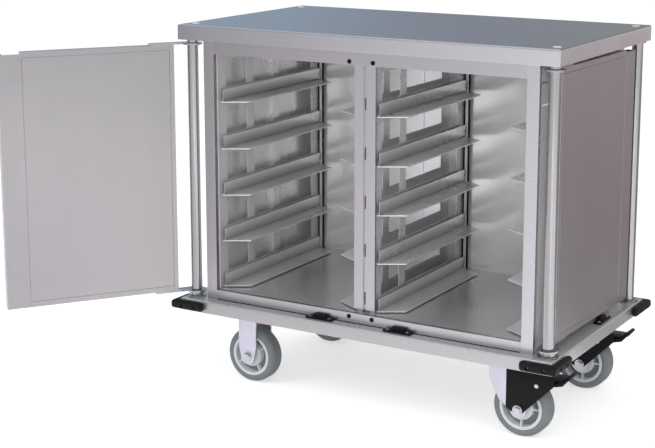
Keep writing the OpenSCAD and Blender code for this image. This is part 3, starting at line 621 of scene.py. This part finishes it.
def bend_shade_mask(tree, place):
    """Mask for the painted shade under each ledge: 1 on shelf and hem; on the leg above a bend, 0
    in the bend and 1 at the upper edge.
    """
    over = arithmetic(tree, "SUBTRACT", part_of(tree, place, 2), (LEDGE_FOOT - 5) * MM)
    over = arithmetic(tree, "MODULO", over, LEDGE_STEP * MM)
    return arithmetic(tree, "MAXIMUM", spread(tree, over, 0.0055, 0.0065, 1.0, 0.0),
                      spread(tree, over, 0.008, 0.036, 0.0, 1.0))


def surface(material, tone, roughness, height, normal, bump, depth, metallic, specular=0.5):
    """Relief over soft edges, and the shader that ends every finish."""
    tree = material.node_tree
    relief = tree.nodes.new("ShaderNodeBump")
    relief.inputs["Strength"].default_value = bump
    relief.inputs["Distance"].default_value = depth * MM
    tree.links.new(height, relief.inputs["Height"])
    tree.links.new(normal, relief.inputs["Normal"])
    body = tree.nodes.new("ShaderNodeBsdfPrincipled")
    body.inputs["Metallic"].default_value = metallic
    body.inputs["Specular IOR Level"].default_value = specular
    tree.links.new(tone, body.inputs["Base Color"])
    tree.links.new(roughness, body.inputs["Roughness"])
    tree.links.new(relief.outputs[0], body.inputs["Normal"])
    result = tree.nodes.new("ShaderNodeOutputMaterial")
    tree.links.new(body.outputs[0], result.inputs["Surface"])
    return material


print("parts of a finish ready")

# %% Steel
def steel(name, pale, dark, edge_wear_and_highlight, rough, lines_along, bump=0.12, radius=0.9, swing=0.06,
          metallic=1.0, line_depth=0.35, lean=None, grease=0.06, sides_only=False, top=None,
          bend_shade=None):
    """Brushed steel: pale and dark tones in bands, lines along X, Y or Z.

    lean: painted light, how far the tone goes to another, lighter one towards the cart's right end,
    and that tone; with sides_only only upright faces get it.
    crease: painted shade, how dark the bend under a ledge is painted. top: painted light, the pale
    and dark tones of faces that look up."""
    material = bpy.data.materials.new(name)
    tree, new, link = shader_tree(material)
    place = new.new("ShaderNodeTexCoord").outputs["Object"]
    grain = effect(tree, brushed, place,
                   tuple(0.016 if axis == lines_along else 1.0 for axis in "XYZ"))
    handling = effect(tree, marks, place)
    soft = soft_edges(tree, radius)
    worn_and_highlight = effect(tree, rubbed_and_highlight, place)
    link.new(soft, worn_and_highlight.inputs["Rounded normal"])

    half = arithmetic(tree, "ADD", grain.outputs["Band"], handling.outputs["Cloud"])
    half = arithmetic(tree, "MULTIPLY", half, 0.5, clamp=True)
    tone = blend(tree, half, dark, pale)
    line_mask = spread(tree, grain.outputs["Line"], 0.35, 0.65, 0.0, line_depth)
    tone = blend(tree, line_mask, tone, tuple(value * 0.78 for value in dark))
    # Painted light: the tone grows lighter towards the cart's right end.
    if lean:
        along = spread(tree, part_of(tree, place, 0), -0.56, 0.56, 0.0, lean[0])
        if sides_only:
            along = arithmetic(tree, "MULTIPLY", along, facing_for_painted_light(tree, 1.0, 0.0))
        tone = blend(tree, along, tone, lean[1])
    # Painted shade: the bend under each ledge is darker, and the leg lightens towards its upper
    # edge.
    if bend_shade:
        tone = blend(tree, bend_shade_mask(tree, place), tuple(value * bend_shade for value in dark), tone)
    # Painted light: faces that look up get lighter tones.
    if top:
        tone = blend(tree, facing_for_painted_light(tree, 0.0, 1.0), tone, blend(tree, half, top[1], top[0]))
    # Edges get the bright edge colour: partly wear, partly a painted highlight.
    tone = blend(tree, worn_and_highlight.outputs["Edge"], tone, edge_wear_and_highlight)
    roughness = spread(tree, half, 0.0, 1.0, rough - swing, rough + swing)
    greasy = arithmetic(tree, "MULTIPLY", handling.outputs["Smudge"], grease)
    roughness = arithmetic(tree, "ADD", roughness, greasy, clamp=True)
    return surface(material, tone, roughness, grain.outputs["Line"], soft, bump, 0.3, metallic)


print("steel ready")

# %% Steel finishes
# Painted light: the lid's upright faces go lighter towards the cart's right end.
lid_steel = steel("lid_satin", (0.48, 0.49, 0.50), (0.42, 0.43, 0.45),
                  (0.95, 0.95, 0.96), 0.24, "X", bump=0.03, radius=1.6,
                  lean=(0.75, (0.80, 0.80, 0.82)), sides_only=True)
# Painted light: both frame finishes go lighter towards the cart's right end.
frame_steel_x = steel("frame_satin_level", (0.465, 0.445, 0.455), (0.41, 0.385, 0.40),
                      (0.75, 0.74, 0.77), 0.30, "X", bump=0.05,
                      lean=(0.9, (0.62, 0.62, 0.64)))
frame_steel_z = steel("frame_satin_upright", (0.49, 0.475, 0.49), (0.43, 0.41, 0.425),
                      (0.78, 0.77, 0.80), 0.30, "Z", bump=0.05,
                      lean=(0.9, (0.65, 0.66, 0.67)))
# Painted light: inside the bays the steel is painted much lighter than outside, for light that
# reaches in through the open front.
wall_steel = steel("wall_satin", (0.86, 0.86, 0.86), (0.76, 0.76, 0.76),
                   (0.90, 0.90, 0.90), 0.28, "Z", bump=0.015, metallic=0.45, line_depth=0.06,
                   grease=0.02)
# Painted light: the rear walls are painted nearly white, for the bright light and reflections that
# they catch.
rear_painted_light_steel = steel("rear_wall_satin", (1.0, 1.0, 1.0), (0.93, 0.93, 0.93),
                   (1.0, 1.0, 1.0), 0.20, "Z", bump=0.02, metallic=0.55, line_depth=0.05,
                   grease=0.02, swing=0.03)
# Painted highlight: the folded front edges of the outer rack panels are painted nearly white.
fold_painted_highlight_steel = steel("fold_satin", (0.92, 0.92, 0.92), (0.84, 0.84, 0.84),
                   (1.0, 1.0, 1.0), 0.28, "Z", bump=0.02, metallic=0.3, line_depth=0.05,
                   grease=0.01)
floor_steel = steel("bay_floor_satin", (0.69, 0.69, 0.695), (0.58, 0.58, 0.585),
                    (0.85, 0.85, 0.85), 0.24, "Y", bump=0.04, metallic=0.7, line_depth=0.15,
                    grease=0.02)
door_steel = steel("door_satin", (0.455, 0.437, 0.455), (0.42, 0.402, 0.42),
                   (0.84, 0.83, 0.86), 0.32, "Z", bump=0.03, line_depth=0.12)
rack_steel = steel("rack_satin", (0.74, 0.74, 0.74), (0.62, 0.62, 0.62),
                   (0.85, 0.85, 0.85), 0.30, "Y", bump=0.03, radius=0.5,
                   metallic=0.4, line_depth=0.12, grease=0.02)
# Painted shade: the bends under the ledges are painted darker (crease).
ledge_steel = steel("ledge_satin", (0.82, 0.82, 0.825), (0.72, 0.72, 0.725),
                    (1.0, 1.0, 1.0), 0.30, "Y", bump=0.02, radius=0.6,
                    metallic=0.55, line_depth=0.08, grease=0.02, bend_shade=0.55)
hinge_steel = steel("tube_satin", (0.47, 0.465, 0.475), (0.41, 0.405, 0.415),
                    (0.80, 0.80, 0.80), 0.17, "Z", bump=0.03)
# Painted light: the deck goes lighter towards the cart's right end, and its faces that look up are
# painted lighter still.
rail_steel = steel("deck_satin", (0.43, 0.415, 0.425), (0.375, 0.36, 0.37),
                   (0.88, 0.88, 0.88), 0.28, "X", bump=0.04, metallic=0.6,
                   line_depth=0.2, lean=(0.55, (0.60, 0.60, 0.62)),
                   top=((0.68, 0.66, 0.68), (0.62, 0.60, 0.62)))
bolt_steel = steel("bolt_steel", (0.66, 0.66, 0.68), (0.52, 0.52, 0.54),
                   (0.86, 0.86, 0.87), 0.24, "Y", radius=0.5)
dark_bolt = steel("blackened_bolt", (0.20, 0.19, 0.20), (0.10, 0.10, 0.10),
                  (0.40, 0.40, 0.40), 0.35, "Y", radius=0.4)
print("steel finishes ready")

# %% Zinc, rubber, plastic and tyre
def plain_finish(name, pale, dark, rough, metallic=0.0, bump=0.2, bump_scale=900,
                 cloud_scale=1.0, dust=None, specular=0.5):
    """A cast, moulded or plated surface: cloudy tone, fine relief, soft edges."""
    material = bpy.data.materials.new(name)
    tree, new, link = shader_tree(material)
    place = new.new("ShaderNodeTexCoord").outputs["Object"]
    handling = effect(tree, marks, place, (cloud_scale,) * 3)
    tone = blend(tree, handling.outputs["Cloud"], dark, pale)
    if dust:
        settled = arithmetic(tree, "MULTIPLY", handling.outputs["Smudge"], 0.3)
        tone = blend(tree, settled, tone, dust)
    roughness = spread(tree, handling.outputs["Cloud"], 0.0, 1.0, rough - 0.05, rough + 0.05)
    return surface(material, tone, roughness, noise(tree, place, bump_scale, 2.0),
                   soft_edges(tree, 0.8), bump, 0.4, metallic, specular)


zinc = plain_finish("zinc_plate", (0.66, 0.65, 0.76), (0.56, 0.55, 0.65), 0.38,
                    metallic=0.85, bump=0.1, cloud_scale=6)
black_rubber = plain_finish("bumper_rubber", (0.008, 0.0075, 0.008), (0.004, 0.004, 0.004), 0.50,
                            bump=0.35, bump_scale=1400, cloud_scale=4,
                            dust=(0.02, 0.019, 0.019), specular=0.20)
black_coat = plain_finish("black_coat", (0.006, 0.0055, 0.007), (0.003, 0.003, 0.004), 0.42,
                          bump=0.2, bump_scale=1100, cloud_scale=5, dust=(0.015, 0.015, 0.015),
                          specular=0.17)
white_plastic = plain_finish("white_plastic", (0.86, 0.86, 0.84), (0.80, 0.80, 0.78), 0.35,
                             bump=0.1, cloud_scale=10)
rim_grey = plain_finish("rim_grey", (0.70, 0.73, 0.75), (0.60, 0.63, 0.65), 0.45,
                        bump=0.25, bump_scale=700, cloud_scale=8)
web_grey = plain_finish("web_grey", (0.20, 0.21, 0.215), (0.15, 0.16, 0.165), 0.55,
                        bump=0.25, bump_scale=700, cloud_scale=8)
tyre_grey = plain_finish("tyre_grey", (0.205, 0.225, 0.236), (0.165, 0.184, 0.194), 0.62,
                         bump=0.4, bump_scale=1200, cloud_scale=6,
                         dust=(0.34, 0.34, 0.33))
print("other finishes ready")

# %% [markdown]
# ## Dress the CAD solids
# Each CAD solid that has the right shape keeps its place and only gets its
# finish. Its name says which sheet it was folded from.

# %% Finishes on the CAD nodes
finish_of = {
    "lid_pan": lid_steel, "lid_underplate": rail_steel, "deck_pan": rail_steel,
    "underframe": rail_steel, "front_header": frame_steel_x, "front_sill": frame_steel_x,
    "front_stiles": frame_steel_z, "mullion_posts": frame_steel_z, "rear_frame": frame_steel_z,
    "rear_posts": hinge_steel, "hinge_sockets": hinge_steel, "caster_bolts": bolt_steel,
    "rigid_axles": bolt_steel, "swivel_plates": zinc, "door_magnets": black_coat,
}
for name, obj in nodes.items():
    if name in finish_of:
        finish = finish_of[name]
    elif name.startswith("rear_wall"):
        finish = rear_painted_light_steel
    elif name == "floor_pan":
        finish = floor_steel
    elif name.startswith(("side_wall", "ceiling_pan")):
        finish = wall_steel
    elif name.startswith("rack_panel"):
        finish = rack_steel
    elif name.startswith("ledges"):
        finish = ledge_steel
    elif name.endswith("tube") or name.endswith("hinge_plates"):
        finish = hinge_steel
    elif name.startswith("door_") and name.split("_")[1] in ("left", "right"):
        finish = door_steel
    elif "fork" in name or "yoke" in name:
        finish = zinc
    elif "axle" in name:
        finish = bolt_steel
    elif name.startswith("tyre"):
        finish = tyre_grey
    elif name.startswith("rim"):
        finish = rim_grey
    elif name.startswith("lid_plugs"):
        finish = white_plastic
    elif name.startswith("deck_screws"):
        finish = bolt_steel
    else:
        finish = black_rubber if "bumper" in name else black_coat
    obj.data.materials.clear()
    obj.data.materials.append(finish)
print("dressed", len(nodes), "CAD nodes")

# %% [markdown]
# ## Tray ledges
# The trays slide on ledges of thin sheet. On the real rack the sheet comes out
# of the panel just under a window, runs down it, turns a tight bend and ends in
# a narrow hem. A strip is laid flat, its panel side is spun up through the bend
# and pulled up, the free edge is folded down, two slanting cuts shorten the free
# edge, and their edges are folded down too. Then the sheet gets its thickness.
# One ledge serves all twenty.

# %% One ledge
reach, bend, leg, hem, sheet = 71, 5, 33.4, 2.4, 1.5
wall_half, free_half = 253, 215
start_clean()
bpy.ops.mesh.primitive_plane_add(size=1, location=((bend + reach) / 2 * MM, 0, 0))
ledge = bpy.context.object
ledge.scale = ((reach - bend) * MM, 2 * wall_half * MM, 1)
bpy.ops.object.transform_apply(location=True, rotation=True, scale=True)
pick(ledge, "EDGE", lambda middle, way: middle.x > (reach - 0.1) * MM)
push(z=-hem)
pick(ledge, "EDGE", lambda middle, way: abs(middle.x - bend * MM) < 1e-5 and abs(way.y) > 0.9)
bpy.ops.mesh.spin(steps=6, angle=math.radians(90), center=(bend * MM, 0, bend * MM),
                  axis=(0, 1, 0))
push(z=leg - bend)
for side in (-1, 1):
    pick_all()
    slant = Vector((wall_half - free_half, side * (reach - bend), 0)).normalized()
    bpy.ops.mesh.bisect(plane_co=(bend * MM, side * wall_half * MM, 0), plane_no=slant,
                        clear_outer=True)
pick(ledge, "EDGE", lambda middle, way: abs(middle.z) < 1e-5 and 0.3 < abs(way.x) < 0.95)
push(z=-hem)
close_mesh(merge=0.01)
apply_modifier(ledge, "SOLIDIFY", thickness=sheet * MM, offset=0.0)
round_edges(ledge, 0.3, segments=1, angle=60)
size = [round(value / MM, 1) for value in ledge.dimensions]
print("ledge measures", size, "mm")

# %% Twenty ledges
racks = {
    "left_outer": (-456, 0), "left_inner": (-26, 180),
    "right_inner": (26, 0), "right_outer": (456, 180),
}
for rack, (x, degrees) in racks.items():
    for level in range(5):
        height = LEDGE_FOOT + LEDGE_STEP * level - sheet / 2
        place = shift(x, 0, height) @ turned("Z", degrees)
        piece = copy_of(ledge, place @ shift(sheet / 2 + 0.2, 0, 0))
        settle(piece, "ledge_%s_%d" % (rack, level + 1), "cart", ledge_steel)
        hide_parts("ledges_" + rack)
throw_away(ledge)
print("five ledges on each of", len(racks), "racks")

# %% [markdown]
# ## Corner bumpers
# Each corner of the deck has an angle of thick black rubber, held by two sunk
# screws on each arm. One is modelled from a small square: its two edges are
# drawn out to make the arms, the flat angle is raised to its height, and every
# edge but the corner's own is rounded until the arms are nearly rods. The screw
# holes are cut with a cylinder, and the other corners are mirrored copies.

# %% Bumpers with sunk screws
front_arm, side_arm, out, low, high = 99, 109, 18, 211, 236.5
x0, y0 = -(DECK_X + out), -(DECK_Y + out)
start_clean()
bpy.ops.mesh.primitive_plane_add(
    size=out * MM, location=((x0 + out / 2) * MM, (y0 + out / 2) * MM, low * MM))
bumper = bpy.context.object
bpy.ops.object.transform_apply(location=True, rotation=True, scale=True)
pick(bumper, "EDGE", lambda middle, way: abs(middle.x - (x0 + out) * MM) < 1e-5)
push(x=front_arm - out)
pick(bumper, "EDGE", lambda middle, way: abs(middle.y - (y0 + out) * MM) < 1e-5
     and middle.x < (x0 + out) * MM)
push(y=side_arm - out)
pick_all()
push(z=high - low)
close_mesh()
pick(bumper, "EDGE", lambda middle, way: abs(way.z) < 0.9
     or middle.x > (x0 + front_arm - 1) * MM or middle.y > (y0 + side_arm - 1) * MM)
bpy.ops.mesh.bevel(offset=8.4 * MM, segments=5)
leave_mesh()
screw_places = []
for step in (33.5, 75.7):
    screw_places.append(("Y", (x0 + step, y0, 221.5)))
    screw_places.append(("X", (x0, y0 + step, 221.5)))
for axis, middle in screw_places:
    cut(bumper, disc(4.6, 12, middle, axis, sides=24))
corner_turns = {
    end + "_" + side: Matrix.Diagonal((x, y, 1, 1))
    for end, y in (("front", 1), ("rear", -1)) for side, x in (("left", 1), ("right", -1))
}
for corner, turn in corner_turns.items():
    piece = copy_of(bumper, turn)
    settle(piece, "bumper_" + corner, "cart", black_rubber, smooth=40)
    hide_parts("front_bumpers" if "front" in corner else "rear_bumpers")
throw_away(bumper)
print("four bumpers,", len(piece.data.polygons), "faces each")

# %% [markdown]
# ## Small screws
# A pan head with a cross in it: a short cylinder whose top is inset and pulled
# up to a low dome, then a thin cross is cut out. It is drawn once, upright at
# the origin, and each copy is turned to its place.

# %% Pan-head screws
def pan_head(radius, height):
    screw = disc(radius, height, (0, 0, height / 2), "Z", sides=24)
    pick(screw, "FACE", lambda middle, normal: normal.z > 0.9)
    bpy.ops.mesh.inset(thickness=radius * 0.22 * MM, depth=height * 0.30 * MM)
    bpy.ops.mesh.inset(thickness=radius * 0.30 * MM, depth=height * 0.14 * MM)
    leave_mesh()
    for x, y in ((radius * 0.6, radius * 0.14), (radius * 0.14, radius * 0.6)):
        cut(screw, cube((-x, -y, height * 0.75), (x, y, height * 3)))
    return screw


screw = pan_head(3.4, 1.5)
facing = {"Y": turned("X", 90), "X": turned("Y", -90)}
sunk = 5.9
count = 0
for turn in corner_turns.values():
    for axis, middle in screw_places:
        inward = shift(sunk, 0, 0) if axis == "X" else shift(0, sunk, 0)
        count += 1
        piece = copy_of(screw, turn @ shift(*middle) @ inward @ facing[axis])
        settle(piece, "bumper_screw_%02d" % count, "cart", dark_bolt)
        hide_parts("deck_screws")
throw_away(screw)
print(count, "bumper screws")

# %% [markdown]
# ## Catches on the deck
# A catch holds an open door. It is a black moulded base with rounded ends and a
# raised block at its inner side, with a slot where the spring tongue comes out.
# It could be cut from one block, but with a base and a block welded together
# each outline can be rounded by itself first.

# %% One catch
catch = cube((-40, -11, 0), (40, 11, 4))
pick(catch, "EDGE", lambda middle, way: abs(way.z) > 0.9)
bpy.ops.mesh.bevel(offset=5 * MM, segments=4)
leave_mesh()
block = cube((-19, -5, 2), (19, 11, 12))
pick(block, "EDGE", lambda middle, way: middle.z > 11.9 * MM and abs(way.x) > 0.9
     and middle.y < 0)
bpy.ops.mesh.bevel(offset=5 * MM, segments=3)
pick(block, "EDGE", lambda middle, way: abs(way.z) > 0.5 and middle.y > 10 * MM)
bpy.ops.mesh.bevel(offset=1.5 * MM, segments=2)
leave_mesh()
cut(block, cube((-11, -8, 6), (11, 2, 9)))
tongue = cube((-10, -5.5, 6.4), (10, 1, 8.6))
round_edges(tongue, 0.7)
cut(catch, block, operation="UNION")
round_edges(catch, 0.8, angle=40)
catch = join([catch, tongue])
print("catch with", len(catch.data.polygons), "faces")

# %% Four catches and their screws
catch_places = {
    "front_left": shift(-116, -293.5, DECK_TOP), "front_right": shift(116, -293.5, DECK_TOP),
    "side_left": shift(-527.65, 69, DECK_TOP) @ turned("Z", -90),
    "side_right": shift(527.65, 69, DECK_TOP) @ turned("Z", 90),
}
catch_screw = pan_head(4.3, 1.7)
for place, matrix in catch_places.items():
    piece = copy_of(catch, matrix)
    settle(piece, "catch_" + place, "cart", black_coat)
    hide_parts("door_catches")
    for end in (-1, 1):
        count += 1
        piece = copy_of(catch_screw, matrix @ shift(end * 28.5, -2, 4))
        settle(piece, "catch_screw_%02d" % count, "cart", bolt_steel)
        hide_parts("deck_screws")
throw_away(catch, catch_screw)
print(len(catch_places), "catches,", count, "deck screws in all")

# %% [markdown]
# ## Plugs in the lid
# Four white plastic plugs close holes near the lid's corners. Each is a shallow
# dome on a thin collar. Three insets, each raised a little less, are round
# enough at this size.

# %% Plugs
plug = disc(10.5, 0.6, (0, 0, 0.3), "Z", sides=40)
pick(plug, "FACE", lambda middle, normal: normal.z > 0.9)
bpy.ops.mesh.inset(thickness=1.6 * MM, depth=0.35 * MM)
bpy.ops.mesh.inset(thickness=2.6 * MM, depth=0.40 * MM)
bpy.ops.mesh.inset(thickness=2.8 * MM, depth=0.20 * MM)
leave_mesh()
number = 0
for side in (-1, 1):
    for depth in (-1, 1):
        number += 1
        piece = copy_of(plug, shift(side * 519, depth * 266, LID_TOP))
        settle(piece, "lid_plug_%d" % number, "cart", white_plastic, smooth=50)
        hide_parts("lid_plugs")
throw_away(plug)
print(number, "plugs")

# %% [markdown]
# ## Tyres
# The grey tyres have a nearly flat tread with soft shoulders, a fine moulding
# line round the middle and a small step where the rubber grips the rim. The
# section is drawn once as a rounded rectangle and spun about the axle. A ring
# with a round section would be quicker, but it would stand on a thin line.

# %% Tyres
bore, outer, width = 58, 76, 50
start_clean()
bpy.ops.mesh.primitive_plane_add(size=1, location=(0, 0, 0))
section = bpy.context.object
section.scale = ((outer - bore) * MM, width * MM, 1)
section.location = ((bore + outer) / 2 * MM, 0, 0)
bpy.ops.object.transform_apply(location=True, rotation=True, scale=True)
pick(section, "VERT", lambda point: point.x > 70 * MM)
bpy.ops.mesh.bevel(offset=12.5 * MM, segments=7, affect="VERTICES")
pick(section, "VERT", lambda point: point.x < 60 * MM)
bpy.ops.mesh.bevel(offset=3.4 * MM, segments=2, affect="VERTICES")
pick(section, "EDGE", lambda middle, way: middle.x > 75.9 * MM and abs(middle.y) < 1 * MM)
bpy.ops.mesh.subdivide(number_cuts=6)
pick(section, "VERT", lambda point: point.x > 75.9 * MM and 1 * MM < abs(point.y) < 3 * MM)
move(x=-0.5)
pick_all()
spin_open(steps=72)
close_mesh(merge=0.02)
wheel_places = {
    "rigid_front": shift(RIGID_X, -WHEEL_Y, AXLE_HEIGHT),
    "rigid_rear": shift(RIGID_X, WHEEL_Y, AXLE_HEIGHT),
    "swivel_front": shift(SWIVEL_X, -WHEEL_Y, AXLE_HEIGHT),
    "swivel_rear": shift(SWIVEL_X, WHEEL_Y, AXLE_HEIGHT),
}
for wheel, place in wheel_places.items():
    piece = copy_of(section, place)
    settle(piece, "tyre_tread_" + wheel, "wheel_" + wheel, tyre_grey, smooth=40)
    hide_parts("tyre_" + wheel)
throw_away(section)
print("four tyres,", len(piece.data.polygons), "faces each")

# %% [markdown]
# ## Wheel centres
# A wheel centre is moulded in one piece: a ring that carries the tyre, a thin
# web set deep between ring and hub, four thin ribs, and a flat hub with a boss
# for the axle. Ring and hub are drawn as sections and spun about the axle, and
# the ribs are thin blocks. The web is darker, because light hardly reaches it.

# %% Rings, ribs, hubs and webs
ring = spun([(57.9, 23.2), (51.0, 24.2), (49.4, 23.0), (47.8, 6.5),
             (47.8, -6.5), (49.4, -23.0), (51.0, -24.2), (57.9, -23.2)])
hub = spun([(6.3, 34.6), (13.4, 34.6), (14, 34.0), (14.4, 23.0), (30.8, 22.6), (32, 21.4),
            (33, 6.5), (33, -6.5), (32, -21.4), (30.8, -22.6), (14.4, -23.0), (14, -34.0),
            (13.4, -34.6), (6.3, -34.6)])
web = spun([(48.4, 6), (32.4, 6), (32.4, -6), (48.4, -6)])
ribs = []
for quarter in range(4):
    rib = cube((30.5, -19.5, -2.0), (50.5, 19.5, 2.0))
    round_edges(rib, 0.6)
    rib.data.transform(turned("Y", 90 * quarter))
    ribs.append(rib)
centre = join([ring, hub] + ribs)
for wheel, place in wheel_places.items():
    first_rib = turned("Y", -32 if wheel.startswith("rigid") else 0)
    for part, name, finish in ((centre, "wheel_centre_", rim_grey), (web, "wheel_web_", web_grey)):
        piece = copy_of(part, place @ first_rib)
        settle(piece, name + wheel, "wheel_" + wheel, finish, smooth=30)
        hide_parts("rim_" + wheel)
throw_away(centre, web)
print("four wheel centres")

# %% [markdown]
# ## Axles
# The swivel casters have a hexagon bolt with a washer, the rigid ones a round
# head on a wider washer, and all have a nut at the back. A hexagon is a disc
# with six sides whose outer face is inset and pushed out a little, which gives
# the chamfer of a real bolt head.

# %% Axle bolts
def bolt_head(radius, depth, front, sides):
    """A head in front of y = front, its outer face chamfered or domed."""
    head = disc(radius, depth, (0, front - depth / 2, 0), "Y", sides=sides)
    pick(head, "FACE", lambda middle, normal: normal.y < -0.9)
    bpy.ops.mesh.inset(thickness=1.6 * MM, depth=0.7 * MM)
    bpy.ops.mesh.inset(thickness=2.2 * MM, depth=0.3 * MM)
    leave_mesh()
    return head


def axle_bolt(face, head_radius, head_depth, sides, washer_radius):
    """An axle with its head at y = face, a washer under it, and a nut at the back."""
    washer = disc(washer_radius, 1.6, (0, face - 0.8, 0), "Y", sides=48)
    round_edges(washer, 0.4)
    rod_end = 49.5
    rod = disc(5.9, rod_end - face, (0, (rod_end + face) / 2, 0), "Y")
    round_edges(rod, 0.8)
    nut = disc(11, 8, (0, 44, 0), "Y", sides=6)
    round_edges(nut, 0.9, angle=70)
    return join([bolt_head(head_radius, head_depth, face - 1.6, sides), washer, rod, nut])


swivel_bolt = axle_bolt(-43, 11.0, 5.6, 6, 13.2)
rigid_bolt = axle_bolt(-40, 11.2, 4.4, 40, 14.5)
for wheel, place in wheel_places.items():
    kind, side = wheel.split("_")
    swivels = kind == "swivel"
    piece = copy_of(swivel_bolt if swivels else rigid_bolt, place)
    settle(piece, "axle_bolt_" + wheel, "caster_" + side if swivels else "cart",
           bolt_steel)
    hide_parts("swivel_axle_" + side if swivels else "rigid_axles")
throw_away(swivel_bolt, rigid_bolt)
print("four axle bolts")

# %% [markdown]
# ## Brake guards and pedals
# A black plate covers the outside of each swivel caster and is pointed round
# the axle. A bright rivet ends the pivot of the pedal. The pedal is a channel:
# two cheeks and a tread between them, bent up at the toe, where the sheet is
# rolled so that a shoe doesn't catch on an edge. Plate and cheeks are drawn as
# outlines and raised, as the real ones are cut from sheet.

# %% Guards
guard = plate([(-32, 105), (-32, 4), (-18, -5), (13, -6), (95, 77), (95, 96), (86, 105)],
              -43, -40)
cut(guard, disc(6.2, 12, (0, -41.5, 0), "Y"))
round_edges(guard, 0.7, angle=50)
pin = disc(3.9, 82, (PIVOT_X, 0, PIVOT_Z), "Y", sides=24)
guard = join([guard, pin])
rivet = bolt_head(5.4, 1.4, -43, 24)
for side in ("front", "rear"):
    place = wheel_places["swivel_" + side]
    piece = copy_of(guard, place)
    settle(piece, "brake_plate_" + side, "caster_" + side, black_coat)
    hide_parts("brake_guard_" + side)
    piece = copy_of(rivet, place @ shift(PIVOT_X, 0, PIVOT_Z))
    settle(piece, "brake_rivet_" + side, "caster_" + side, bolt_steel)
    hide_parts("brake_guard_" + side)
throw_away(guard, rivet)
print("guards and rivets")

# %% Pedals
cheek = [(41.7, 66), (52, 64.6), (70, 65), (86, 70.5), (111, 76.6), (127.6, 95),
         (121.2, 101.4), (107.5, 88.8), (62, 88.4), (44, 81)]
near, far = plate(cheek, -28, -24), plate(cheek, 24, 28)
tread = plate([(62, 88.6), (107.5, 89), (121.2, 102.2), (124.0, 99.4), (109, 85.2), (62, 84.8)],
              -28, 28)
roll = disc(4.7, 56, (124.4, 0, 98.3), "Y", sides=28)
barrel = disc(8, 56, (PIVOT_X, 0, PIVOT_Z), "Y")
shoe = cube((PIVOT_X, -16, 62.8), (57.6, 16, 72))
for part, width in ((near, 1.2), (far, 1.2), (tread, 0.8), (roll, 1.5), (barrel, 0.8), (shoe, 0.8)):
    round_edges(part, width, angle=40)
for part in (near, far, barrel):
    cut(part, disc(4.1, 80, (PIVOT_X, 0, PIVOT_Z), "Y", sides=24))
pedal = join([near, far, tread, roll, barrel, shoe])
for side in ("front", "rear"):
    piece = copy_of(pedal, wheel_places["swivel_" + side])
    settle(piece, "pedal_" + side, "brake_" + side, black_coat, smooth=40)
    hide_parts("brake_pedal_" + side)
throw_away(pedal)
print("pedals,", len(piece.data.polygons), "faces each")

# %% [markdown]
# ## Folded edges, painted highlight and painted shadow
# Three small things draw the dark and bright lines of the cart's front: the
# outer rack panels have a folded front edge, whose finish is painted nearly white
# as a highlight; a black strip along the foot of the sill is a painted shadow in
# the gap between sill and deck; and behind each left rack panel a steel cover
# strip on a wider black strip draws two dark lines at the joint with the rear
# wall. They are bars with soft edges: only the line that they draw can be seen.

# %% Folded edges, painted shadow strip and cover strips
def strip(name, lo, hi, finish, width=0.6):
    piece = cube(lo, hi)
    pick(piece, "EDGE", lambda middle, way: True)
    bpy.ops.mesh.bevel(offset=width * MM, segments=2)
    leave_mesh()
    return settle(piece, name, "cart", finish, smooth=40)


# Painted highlight: each outer rack panel's folded front edge has a nearly white finish.
for side, x in (("left", -458.8), ("right", 455.2)):
    strip("rack_fold_" + side, (x, -262, BAY_BOTTOM), (x + 3.6, -258, BAY_TOP),
          fold_painted_highlight_steel, 1.2)
# Painted shadow: a black strip along the foot of the sill, in the gap between sill and deck.
strip("sill_seal", (-450, -283.7, DECK_TOP - 0.1), (450, -282.3, DECK_TOP + 1.7),
      black_rubber, 0.4)
# A steel cover strip on a wider black strip draws two dark lines where each left rack panel meets
# the rear wall.
for bay, x in (("left", -455.8), ("right", 26.2)):
    strip("corner_seal_" + bay, (x, 257.4, BAY_BOTTOM), (x + 19, 258.9, BAY_TOP),
          black_rubber)
    strip("corner_cover_" + bay, (x + 5.5, 255.8, BAY_BOTTOM), (x + 14, 258, BAY_TOP),
          wall_steel)
print("folds, seal and strips")
